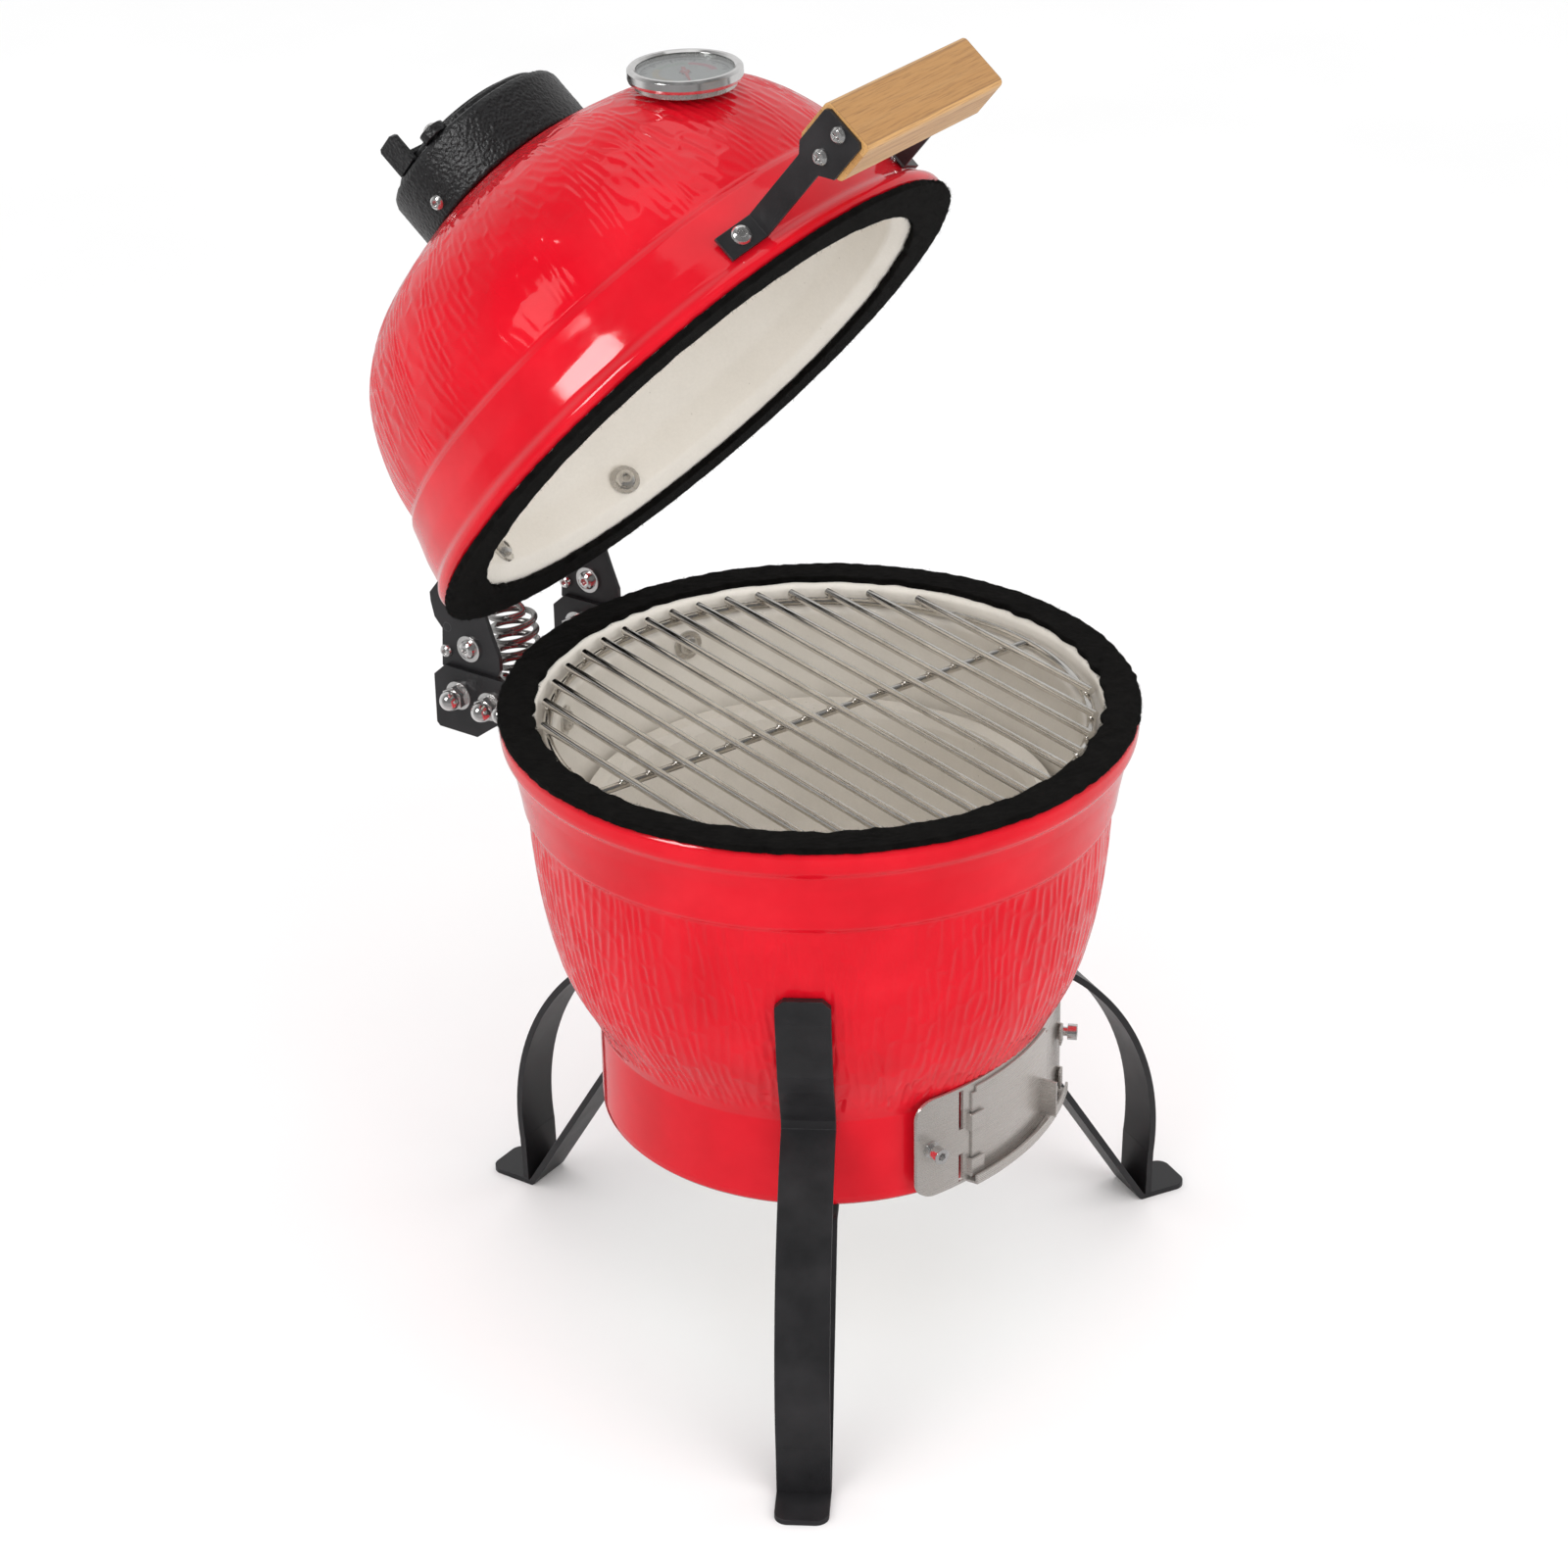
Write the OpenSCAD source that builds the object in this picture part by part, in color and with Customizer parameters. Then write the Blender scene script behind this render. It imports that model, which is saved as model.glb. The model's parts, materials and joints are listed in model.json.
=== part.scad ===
// Small ceramic kamado grill on a three-legged steel stand, with its lid standing open.
// Millimetres. +Z is up and the origin is on the floor, on the vertical axis of the base.
// The draft door and the handle face -Y, and the hinge is at +Y.

/* [Ceramic base] */
// Outer radius of the base and lid rims
rim_r = 164.5; // [160:0.5:170]
// Height of the top of the ceramic base rim
rim_z = 354; // [350:1:358]
// Height of the underside of the ceramic base
base_z = 123; // [121:1:125]
// Outer radius of the smooth foot of the base
foot_r = 119; // [117:0.5:120]
// Thickness of each felt gasket
felt_t = 4; // [3:0.5:5]

/* [Lid] */
// How far the lid stands open, in degrees
open_angle = 50.46; // [20:0.02:60]
// Gap between the two gaskets when the lid is shut
seal_gap = 0.4; // [0.2:0.1:1]
// Distance of the hinge pins behind the grill axis
pivot_y = 187.5; // [186:0.5:190]
// Height of the hinge pins
pivot_z = 357; // [355:0.5:359]

/* [Chimney] */
// Outer radius of the cast chimney collar
collar_r = 52.5; // [51:0.5:54]
// Height of the top of the collar above the lid rim
collar_top = 183; // [181:1:186]
// Radius of the swivelling cover
cover_r = 45.5; // [44:0.5:47]

/* [Handle] */
// Length of the wooden grip
grip_len = 115; // [105:1:125]
// Width of the wooden grip, out from the lid
grip_w = 26; // [22:1:30]
// Height of the wooden grip
grip_tall = 30; // [26:1:32]

/* [Cooking grate] */
// Radius of the grate ring, to the middle of its wire
grate_r = 140; // [136:0.5:141]
// Number of grate bars
bar_count = 16; // [10:2:18]
// Distance between grate bars
bar_pitch = 16.3; // [14:0.1:16.5]

/* [Stand] */
// Width of the leg straps
strap_w = 28; // [24:1:32]
// Thickness of the leg straps
strap_t = 3.6; // [3:0.2:4]
// Distance of the toe ends from the grill axis
toe_r = 223; // [218:1:228]
// Turn of the three legs about the grill axis
leg_turn = 91; // [88:1:94]

/* [Draft door] */
// Turn of the draft door from the front
vent_turn = 2.8; // [0:0.2:6]
// Radius of the bend of the vent frame and its door
vent_bend = 165; // [150:1:180]

/* [Hidden] */
$fn = 96;

fit_gap = 0.3;          // gap left between a metal part and the ceramic it follows
pin_gap = 0.05;         // radial running clearance of a pin in its hole
seat_gap = 0.02;        // gap between flat faces that rest on each other
lid_rim_z = rim_z + felt_t + seal_gap;
anchor_angle = 23.7;    // hinge anchor bolts, either side of the rear
anchor_z = 333;         // height of the anchor bolts in the base
anchor_h = 19.5;        // height of the anchor bolts above the lid rim
anchor_r = 3;           // radius of an M6 bolt
wall_in_base = 135.8;   // inner radius of the base at its anchor bolts
wall_in_lid = 133.6;    // inner radius of the lid at its anchor bolts
washer_seat = 0.3;      // how far a flat washer stands off the middle of the curved wall
flange_r = 161.5;       // distance of the hinge flanges from the grill axis

// Radii and heights of the outside of the base, from the foot to the rim
base_out = [
    [foot_r - 3, base_z], [foot_r, base_z + 3], [foot_r, 175], [121, 180], [126.5, 192],
    [133.5, 204], [138.7, 216], [142, 228], [144.9, 240], [147.1, 252], [149, 266],
    [150.9, 284], [151.9, 304], [154.2, 307], [155.6, 316], [158.6, 331], [161, 339.5],
    [163.8, 342.5], [rim_r, 346], [rim_r, rim_z - 2], [rim_r - 2, rim_z]
];
// Inside of the base, from the rim to the floor; the step near the rim carries the grate
base_in = [
    [146.5, rim_z], [145.5, 343.5], [wall_in_base + 1, 343.5], [wall_in_base, 342.3],
    [wall_in_base, 324], [131, 300], [127.5, 260], [121, 228], [111, 200], [105, 180], [97, 180],
    [97, base_z + 20], [92, base_z + 17]
];
// Outside of the lid above its rim, from the rim to the chimney neck
lid_out = [
    [rim_r - 2, felt_t], [rim_r, felt_t + 2], [rim_r, 9], [163.4, 11.5], [160.2, 14],
    [157.6, 27], [154.4, 37], [151.9, 46], [148.6, 49], [147.6, 58], [145.8, 68],
    [142.2, 80], [137.6, 92], [131.2, 104], [127.1, 110], [121.6, 116], [115.2, 122],
    [106, 129], [95, 134.5], [80.5, 140.5], [65.6, 146], [56, 148.6], [48, 149.6], [48, 168],
    [46, 170]
];
// Inside of the lid, from the neck to the rim
lid_in = [
    [38, 170], [38, 132], [62, 126.5], [80, 119.5], [95, 108], [108, 92], [118, 74],
    [126, 52], [131, 38], [wall_in_lid, 31], [wall_in_lid, 11], [139.9, felt_t]
];

// ---------- helpers ----------

// A closed outline turned about the vertical axis
module turned(points) {
    rotate_extrude() polygon(points);
}

// Places a child, drawn over the shut lid rim, on the open lid
module on_lid() {
    translate([0, pivot_y, pivot_z]) rotate([-open_angle, 0, 0])
        translate([0, -pivot_y, lid_rim_z - pivot_z]) children();
}

// Places a child, drawn along +X, on a radius at an angle from the rear, either side
module from_rear(side, height) {
    translate([0, 0, height]) rotate([0, 0, 90 + side * anchor_angle]) children();
}

// A rod along X from one place to another
module rod_x(x0, x1, r) {
    translate([x0, 0, 0]) rotate([0, 90, 0]) cylinder(h = x1 - x0, r = r);
}

// A plate drawn in the Y and Z plane, with its thickness from x0 to x1
module plate_yz(x0, x1) {
    translate([x0, 0, 0]) rotate([90, 0, 90]) linear_extrude(x1 - x0) children();
}

// A rounded button head with a hexagon socket, its flat side at x = 0 and its crown towards -X
module button_head(r, height) {
    difference() {
        rotate([0, -90, 0]) rotate_extrude() polygon([
            [0, 0], [r, 0], [r, height * 0.3], [r * 0.86, height * 0.72], [r * 0.6, height], [0, height]
        ]);
        translate([-height - 1, 0, 0]) rotate([0, 90, 0]) cylinder(h = height * 0.6 + 1, r = r * 0.42, $fn = 6);
    }
}

// A domed cap nut, its seat at x = 0 and its crown towards -X, with a blind hole for the thread
module cap_nut(across_corners, hole_r, depth) {
    hex_h = depth * 0.42;
    dome_r = across_corners * 0.40;
    difference() {
        union() {
            rotate([0, -90, 0]) cylinder(h = hex_h, r = across_corners / 2, $fn = 6);
            rotate([0, -90, 0]) cylinder(h = depth - dome_r, r = dome_r);
            translate([-(depth - dome_r), 0, 0]) sphere(r = dome_r);
        }
        rod_x(-depth * 0.62, 1, hole_r);
    }
}

// A flat washer with its face at x = 0, extending towards -X
module washer(r, hole_r, t) {
    rotate([0, -90, 0]) difference() {
        cylinder(h = t, r = r);
        translate([0, 0, -1]) cylinder(h = t + 2, r = hole_r);
    }
}

// Solid of the outside of the base, grown sideways by a gap
module base_envelope(gap) {
    turned(concat([[0, base_z - 1]], [for (p = base_out) [p[0] + gap, p[1]]], [[0, rim_z]]));
}

// ---------- ceramic base ----------

port_w = 76;            // width of the air port in the ceramic
port_z = 136;           // bottom of the air port
port_h = 36;            // height of the air port

module base_shell() {
    color([0.80, 0.06, 0.10]) difference() {
        turned(concat([[0, base_z]], base_out, base_in, [[0, base_z + 17]]));
        rotate([0, 0, vent_turn])
            translate([-port_w / 2, -foot_r - 10, port_z + 8])
                cube([port_w, 45, port_h - 8]);
        for (side = [-1, 1])
            from_rear(side, anchor_z) rod_x(120, 175, anchor_r + 0.4);
        for (side = [-1, 1])
            vent_bolt_place(side) rod_x(-14, 10, 2.6);
        // flat seat for the upper edge of the vent frame
        bent_sheet(vent_bend - 0.3, vent_bend + 12, -64, 64, frame_high - 9, frame_high + 1);
    }
}

module base_gasket() {
    color([0.06, 0.06, 0.07]) turned([
        [146.6, rim_z + seat_gap], [rim_r - 1, rim_z + seat_gap], [rim_r + 0.5, rim_z + 1],
        [rim_r + 0.5, rim_z + felt_t - 1], [rim_r - 1, rim_z + felt_t], [147.4, rim_z + felt_t],
        [146.6, rim_z + felt_t - 1]
    ]);
}

// ---------- fire bowl and grates ----------

bowl_z = 180 + seat_gap;

module fire_bowl() {
    color([0.82, 0.79, 0.72]) difference() {
        turned([
            [52, bowl_z], [102, bowl_z], [108, 200], [117.5, 228], [123.5, 258], [126, 292],
            [124, 296], [115, 296], [113, 290], [110.5, 258], [105, 230], [95, 206], [82, 196],
            [60, 194], [60, 188], [52, 188]
        ]);
        for (a = [0 : 45 : 315])
            rotate([0, 0, a + 22.5]) translate([90, -6, 197.5]) cube([40, 12, 8]);
        for (a = [0 : 60 : 300])
            rotate([0, 0, a]) translate([78, 0, 170]) cylinder(h = 40, r = 6);
    }
}

module charcoal_grate() {
    color([0.12, 0.12, 0.12]) difference() {
        translate([0, 0, 188 + seat_gap]) cylinder(h = 5, r = 59);
        for (i = [-3 : 3])
            translate([-sqrt(52 * 52 - pow(abs(i) * 14 + 4, 2)), i * 14 - 4, 180])
                cube([2 * sqrt(52 * 52 - pow(abs(i) * 14 + 4, 2)), 8, 20]);
    }
}

grate_wire = 2.6;       // radius of the ring wire
bar_wire = 2.1;         // radius of the bar wire
grate_turn = -18.3;     // turn of the bars from the Y axis
grate_seat = 343.5 + seat_gap;
ring_mid = grate_seat + grate_wire;
bar_mid = ring_mid + grate_wire + bar_wire + seat_gap;

module grate_ring() {
    color([0.72, 0.71, 0.68]) translate([0, 0, ring_mid])
        rotate_extrude() translate([grate_r, 0]) circle(r = grate_wire);
}

module grate_bars() {
    color([0.75, 0.74, 0.71]) rotate([0, 0, grate_turn])
        for (i = [0 : bar_count - 1]) {
            x = (i - (bar_count - 1) / 2) * bar_pitch;
            half = sqrt(pow(grate_r + 2, 2) - x * x);
            translate([x, half, bar_mid]) rotate([90, 0, 0]) cylinder(h = 2 * half, r = bar_wire);
        }
}

module grate_crossbar() {
    half = grate_r - grate_wire - 0.6;
    color([0.72, 0.71, 0.68]) rotate([0, 0, grate_turn])
        translate([-half, 0, bar_mid - 2 * bar_wire - seat_gap]) rod_x(0, 2 * half, bar_wire);
}

// ---------- stand ----------

ring_top = base_z - seat_gap;
ring_t = 3;
bow_mid = [56.6, 47.6];     // centre of the arc of each bow
bow_r = 144.5;              // outer radius of that arc
crease_r = 121.6;           // where the bow meets the cradle
cradle_top = 265;
cradle_bend = 252;          // height of the slight bend below the top of the strap

module stand_ring() {
    color([0.08, 0.08, 0.085]) translate([0, 0, ring_top - ring_t]) difference() {
        cylinder(h = ring_t, r = foot_r - 13);
        translate([0, 0, -1]) cylinder(h = ring_t + 2, r = 84);
    }
}

// Outline of one bow, from the toe plate up to the crease
module bow_outline() {
    intersection() {
        translate(bow_mid) difference() {
            circle(r = bow_r);
            circle(r = bow_r - strap_t);
        }
        polygon([[crease_r, 120], [crease_r, 185], [230, 185], [230, 30], [150, 30]]);
    }
    polygon([
        [195.6, 3.05], [199.2, 3.05], [bow_mid[0] + bow_r - 1.1, 31], [bow_mid[0] + bow_r - strap_t - 1.1, 31]
    ]);
}

// Outline of the part of the strap that hugs the bowl
module cradle_outline() {
    bowl = [for (p = base_out) if (p[1] > 179 && p[1] < cradle_top + 2) p];
    polygon(concat(
        [[crease_r - 0.6, 171], [crease_r - 0.6, 176]],
        [for (p = bowl) [p[0] + 0.6, p[1]]],
        [for (i = [len(bowl) - 1 : -1 : 0]) [bowl[i][0] + (bowl[i][1] == cradle_bend ? 5.5 : 4.6), bowl[i][1]]],
        [[crease_r + 3.6, 174], [crease_r + 3.2, 171]]
    ));
}

// One strap from the floor to the bowl; the top corners of the strap are rounded
module leg(angle) {
    color([0.07, 0.07, 0.075]) rotate([0, 0, angle]) difference() {
        translate([0, strap_w / 2, 0]) rotate([90, 0, 0]) union() {
            linear_extrude(strap_w) bow_outline();
            linear_extrude(strap_w) cradle_outline();
        }
        base_envelope(fit_gap);
        for (side = [-1, 1])
            translate([130, side * strap_w / 2, cradle_top + 1])
                rotate([0, 90, 0]) rotate([0, 0, 45]) translate([-3, -3, 0]) cube([6, 6, 40]);
    }
}

// One strap from the stand ring down to the floor, ending in the toe plate
module strut(angle) {
    knee = 122.4;
    low = ring_top - ring_t - seat_gap;
    color([0.07, 0.07, 0.075]) rotate([0, 0, angle]) difference() {
        translate([0, strap_w / 2, 0]) rotate([90, 0, 0]) linear_extrude(strap_w) polygon([
            [90, low], [knee, low], [knee + 1.5, low - 1], [194.6, 3], [toe_r, 3], [toe_r, 0],
            [193.2, 0], [191.6, 1.2], [knee - 1.2, low - 3], [90, low - 3]
        ]);
        for (side = [-1, 1]) difference() {
            translate([toe_r - 7, side * (strap_w / 2 - 7) - 7 + (side > 0 ? 7 : 0), -1])
                cube([8, 7, 5]);
            translate([toe_r - 7, side * (strap_w / 2 - 7), -2]) cylinder(h = 7, r = 7);
        }
    }
}

module leg_front_left() { leg(leg_turn + 120); }
module leg_front_right() { leg(leg_turn + 240); }
module leg_rear() { leg(leg_turn); }
module strut_front_left() { strut(leg_turn + 120); }
module strut_front_right() { strut(leg_turn + 240); }
module strut_rear() { strut(leg_turn); }

// ---------- hinge ----------

side_shift = 103.6;         // distance between the left and right hinge plates
plate_t = 2.5;
base_plate_x = -55.3;       // outer face of the left base plate
lid_plate_x = -52.5;        // outer face of the left lid plate
arm_x = -49.7;              // outer face of the left inner arm
clamp_at = [[193.6, 329.4], [172.5, 328.4]];
clamp_r = 3;
pivot_r = 3;
stop_at = [201.5, 7.4];     // place of the stop rivets, over the lid rim
stop_r = 2;
spring_pin_at = [190, 15.5];    // place of the spring pin, over the lid rim
spring_pin_r = 2.5;
cross_y = 184;              // front edge of the cross plate between the base plates
cross_z = 307;              // underside of the cross plate
eye_y = 194.5;              // middle of the bridge that holds the lower spring hook

// Both hinge plates of a kind, the right one set over from the left one
module both_sides() {
    children();
    translate([side_shift, 0, 0]) children();
}

module base_plate_outline() {
    difference() {
        polygon([
            [155, 321], [155, 339], [158.5, 344.5], [203, 344.5], [210.5, 337.5], [210.5, 309],
            [208.5, 307], [183, 307], [172.5, 315], [164, 321]
        ]);
        for (c = clamp_at)
            translate(c) circle(r = clamp_r + pin_gap);
    }
}

// The flange that lies along the ceramic, bent outwards from a side plate
module flange(side, height, low, high, from) {
    from_rear(side, height) translate([flange_r, from[0], low]) difference() {
        cube([plate_t, from[1] - from[0], high - low]);
        translate([-1, -from[0], -low]) rod_x(0, plate_t + 2, anchor_r + 0.2);
    }
}

module hinge_base_bracket() {
    color([0.07, 0.07, 0.075]) union() {
        both_sides() plate_yz(base_plate_x, base_plate_x + plate_t) base_plate_outline();
        translate([base_plate_x + 1, cross_y, cross_z]) difference() {
            cube([side_shift + plate_t - 2, 24, plate_t]);
            for (y = [eye_y - 6.4, eye_y + 2.2])
                translate([-base_plate_x - 3.2, y - cross_y, -1]) cube([4.4, 4.2, plate_t + 2]);
        }
        flange(-1, anchor_z, -11, 5.5, [-15, 16.8]);
        flange(1, anchor_z, -11, 5.5, [-13, 15]);
    }
}

// Plates behind the lid plates; they carry the pivot bolts
module hinge_side_arms() {
    color([0.07, 0.07, 0.075]) both_sides() plate_yz(arm_x, arm_x + plate_t) difference() {
        union() {
            polygon([
                [165, 318], [165, 337], [172, 343], [177.5, 354], [197, 354], [197, 346], [203, 340],
                [207, 334], [207, 318]
            ]);
            translate([pivot_y, pivot_z]) circle(r = 11);
        }
        for (c = clamp_at)
            translate(c) circle(r = clamp_r + pin_gap);
        translate([pivot_y, pivot_z]) circle(r = pivot_r + pin_gap);
    }
}

module at_clamps() {
    for (c = clamp_at)
        both_sides() translate([0, c[0], c[1]]) children();
}

module hinge_clamp_spacers() {
    color([0.6, 0.6, 0.6]) at_clamps() difference() {
        rod_x(base_plate_x + plate_t + seat_gap, arm_x - seat_gap, 4.6);
        rod_x(base_plate_x, arm_x + 1, clamp_r + pin_gap);
    }
}

// Bolt with its head behind the arm; its thread comes out of the base plate
module hinge_clamp_bolts() {
    head_x = arm_x + plate_t + seat_gap;
    color([0.75, 0.75, 0.76]) at_clamps() {
        rod_x(base_plate_x - 7, head_x + 1, clamp_r);
        translate([head_x, 0, 0]) mirror([1, 0, 0]) button_head(5.2, 3.2);
    }
}

// Cap nut standing on its washer
module hinge_cap_nuts() {
    color([0.80, 0.80, 0.81]) at_clamps() translate([base_plate_x - seat_gap, 0, 0]) {
        washer(8, clamp_r + pin_gap, 1.6);
        translate([-1.6, 0, 0]) cap_nut(13.6, clamp_r + pin_gap, 12.5);
    }
}

module at_pivots() {
    both_sides() translate([0, pivot_y, pivot_z]) children();
}

module hinge_pivot_bolts() {
    color([0.80, 0.80, 0.81]) at_pivots() {
        translate([lid_plate_x - seat_gap, 0, 0]) washer(7.4, pivot_r - 0.5, 1.2);
        translate([lid_plate_x - seat_gap - 1.2, 0, 0]) button_head(5.2, 3);
        rod_x(lid_plate_x - 1.3, arm_x + plate_t + 6, pivot_r);
    }
}

module hinge_pivot_nuts() {
    color([0.70, 0.70, 0.71]) at_pivots() translate([arm_x + plate_t + seat_gap, 0, 0]) difference() {
        rotate([0, 90, 0]) cylinder(h = 5, r = 5.6, $fn = 6);
        rod_x(-1, 7, pivot_r + pin_gap);
    }
}

module lid_plate_outline() {
    difference() {
        polygon([
            [155.5, 13], [153.2, 15], [153.2, 34], [170.5, 35.4], [183, 35], [186.7, 31.6], [192, 24.5], [193.2, 17.1],
            [210.9, 4.2], [209, -1], [197, -14], [186, -23], [181, -22], [175.7, -17.5], [170.4, -7.9],
            [164.7, 1.9], [158.5, 12]
        ]);
        translate([pivot_y, pivot_z - lid_rim_z]) circle(r = pivot_r + pin_gap);
        translate(spring_pin_at) circle(r = spring_pin_r + pin_gap);
        translate(stop_at) circle(r = stop_r + pin_gap);
    }
}

module hinge_lid_plates() {
    color([0.07, 0.07, 0.075]) on_lid() union() {
        both_sides() plate_yz(lid_plate_x, lid_plate_x + plate_t) lid_plate_outline();
        flange(-1, anchor_h, -4.5, 13, [-15, 14.1]);
        flange(1, anchor_h, -4.5, 13, [-14.2, 15]);
    }
}

// Anchor bolt through the ceramic wall, with a broad washer under its head inside
module anchor_bolt(inner, outer) {
    translate([inner - seat_gap, 0, 0]) {
        washer(8, anchor_r - 0.5, 1.5);
        translate([-1.5, 0, 0]) button_head(5.4, 3.2);
    }
    rod_x(inner - 2, outer, anchor_r);
}

module anchor_nut() {
    translate([flange_r + plate_t + seat_gap, 0, 0]) mirror([1, 0, 0]) {
        washer(7, anchor_r + pin_gap, 1.4);
        translate([-1.4, 0, 0]) cap_nut(11.5, anchor_r + pin_gap, 9.5);
    }
}

module base_anchor_bolts() {
    color([0.78, 0.77, 0.75])
        for (side = [-1, 1])
            from_rear(side, anchor_z) anchor_bolt(wall_in_base - washer_seat, flange_r + plate_t + 5);
}

module base_anchor_nuts() {
    color([0.80, 0.80, 0.81])
        for (side = [-1, 1])
            from_rear(side, anchor_z) anchor_nut();
}

module lid_anchor_bolts() {
    color([0.78, 0.77, 0.75]) on_lid()
        for (side = [-1, 1])
            from_rear(side, anchor_h) anchor_bolt(wall_in_lid - washer_seat, flange_r + plate_t + 5);
}

module lid_anchor_nuts() {
    color([0.80, 0.80, 0.81]) on_lid()
        for (side = [-1, 1])
            from_rear(side, anchor_h) anchor_nut();
}

// Pin between the lid plates that holds the upper spring hook; its ends are flush with the plates
module spring_pin() {
    color([0.07, 0.07, 0.075]) on_lid() translate([0, spring_pin_at[0], spring_pin_at[1]])
        rod_x(lid_plate_x, lid_plate_x + side_shift + plate_t, spring_pin_r);
}

// A rivet with a flat button on each face of each lid plate
module hinge_stop_rivets() {
    color([0.78, 0.78, 0.79]) on_lid() both_sides() translate([lid_plate_x, stop_at[0], stop_at[1]]) {
        translate([-seat_gap, 0, 0]) button_head(3.6, 2.2);
        rod_x(-0.1, plate_t + 0.1, stop_r);
        translate([plate_t + seat_gap, 0, 0]) rod_x(0, 1.2, 3.2);
    }
}

// ---------- hinge spring ----------

wire_r = 1.7;
coil_r = 12;
coil_turns = 5.5;
wire_sides = 8;
turn_steps = 18;
// Rest places of the hooks' middles: the lid's spring pin and the slot in the cross plate
function lid_point(y, h) = [
    0,
    pivot_y + (y - pivot_y) * cos(open_angle) + (h + lid_rim_z - pivot_z) * sin(open_angle),
    pivot_z - (y - pivot_y) * sin(open_angle) + (h + lid_rim_z - pivot_z) * cos(open_angle)
];
hook_r = spring_pin_r + wire_r + 0.3;
spring_top = lid_point(spring_pin_at[0], spring_pin_at[1]);
spring_low = [0, eye_y, cross_z + plate_t / 2];
spring_len = norm(spring_top - spring_low);
spring_lean = atan2(spring_top[1] - spring_low[1], spring_top[2] - spring_low[2]);
coil_low = hook_r + wire_r + 3.2;
coil_high = spring_len - hook_r - wire_r - 3.2;
hook_steps = 14;
coil_steps = coil_turns * turn_steps;

// Centre line of the wire, drawn with the spring upright and the lower hook at the origin
spring_path = concat(
    [for (i = [0 : hook_steps])
        let (a = 60 - i * 330 / hook_steps) [0, hook_r * cos(a), hook_r * sin(a)]],
    [for (i = [0 : coil_steps])
        let (a = 90 + i * 360 / turn_steps, t = i / coil_steps)
            [coil_r * cos(a), coil_r * sin(a), coil_low + t * (coil_high - coil_low)]],
    [for (i = [0 : hook_steps])
        let (a = 270 + i * 330 / hook_steps - 40)
            [0, hook_r * cos(a), spring_len + hook_r * sin(a)]]
);

function unit(v) = v / norm(v);

// One ring of points around the wire at step i; the sides are square to the wire
function wire_ring(path, i) =
    let (
        last = len(path) - 1,
        along = unit(path[min(i + 1, last)] - path[max(i - 1, 0)]),
        side = unit(cross(along, abs(along[0]) > 0.8 ? [0, 0, 1] : [1, 0.1, 0.25])),
        up = cross(side, along)
    )
    [for (k = [0 : wire_sides - 1])
        path[i] + wire_r * (side * cos(k * 360 / wire_sides) + up * sin(k * 360 / wire_sides))];

module hinge_spring() {
    n = len(spring_path);
    points = [for (i = [0 : n - 1]) each wire_ring(spring_path, i)];
    walls = [for (i = [0 : n - 2], k = [0 : wire_sides - 1])
        let (k2 = (k + 1) % wire_sides)
            [i * wire_sides + k, i * wire_sides + k2, (i + 1) * wire_sides + k2, (i + 1) * wire_sides + k]];
    first = [for (k = [wire_sides - 1 : -1 : 0]) k];
    final = [for (k = [0 : wire_sides - 1]) (n - 1) * wire_sides + k];
    color([0.80, 0.80, 0.81]) translate(spring_low) rotate([-spring_lean, 0, 0])
        polyhedron(points, concat(walls, [first, final]));
}

// ---------- lid ----------

stem_at = [0, -133.9, 117.3];   // middle of the thermometer face, over the lid rim
stem_tilt = 49;
case_low = -9.6;                // back of the thermometer case, along its own axis
nut_seat = -38;                 // face of its nut, against the inside of the lid

module thermometer_place() {
    on_lid() translate(stem_at) rotate([stem_tilt, 0, 0]) children();
}

module lid_shell() {
    color([0.80, 0.06, 0.10]) difference() {
        on_lid() turned(concat(lid_out, lid_in));
        on_lid() for (side = [-1, 1])
            from_rear(side, anchor_h) rod_x(125, 175, anchor_r + 0.4);
        on_lid() for (side = [-1, 1])
            handle_bolt_place(side) rod_x(-70, 20, handle_bolt_r + 0.4);
        thermometer_place() {
            translate([0, 0, -60]) cylinder(h = 60, r = 7);
            // flat seats under the case and under its nut
            translate([0, 0, case_low - seat_gap]) cylinder(h = 12, r = 28);
            translate([0, 0, nut_seat - 14]) cylinder(h = 14, r = 13.5);
        }
    }
}

module lid_gasket() {
    color([0.06, 0.06, 0.07]) on_lid() turned([
        [140.2, 1], [141.2, 0], [rim_r - 1, 0], [rim_r + 0.5, 1], [rim_r + 0.5, felt_t - 1],
        [rim_r - 1, felt_t - seat_gap], [140.2, felt_t - seat_gap]
    ]);
}

// ---------- handle ----------

bracket_t = 2;
neck_low = 15;
neck_high = 28.5;
grip_y = -215.7;            // middle of the grip, over the lid rim
grip_h = 19.5;
tab_angle = 25.1;           // handle tabs, either side of the front
tab_r = 160.3;
handle_bolt_r = 3;
handle_bolt_h = 22.5;

// Places a child, drawn along +X, on the radius of a handle bolt, with x = 0 at the tab's face
module handle_bolt_place(side) {
    translate([0, 0, handle_bolt_h]) rotate([0, 0, -90 + side * tab_angle])
        translate([tab_r + bracket_t, 0, 0]) children();
}

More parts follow.
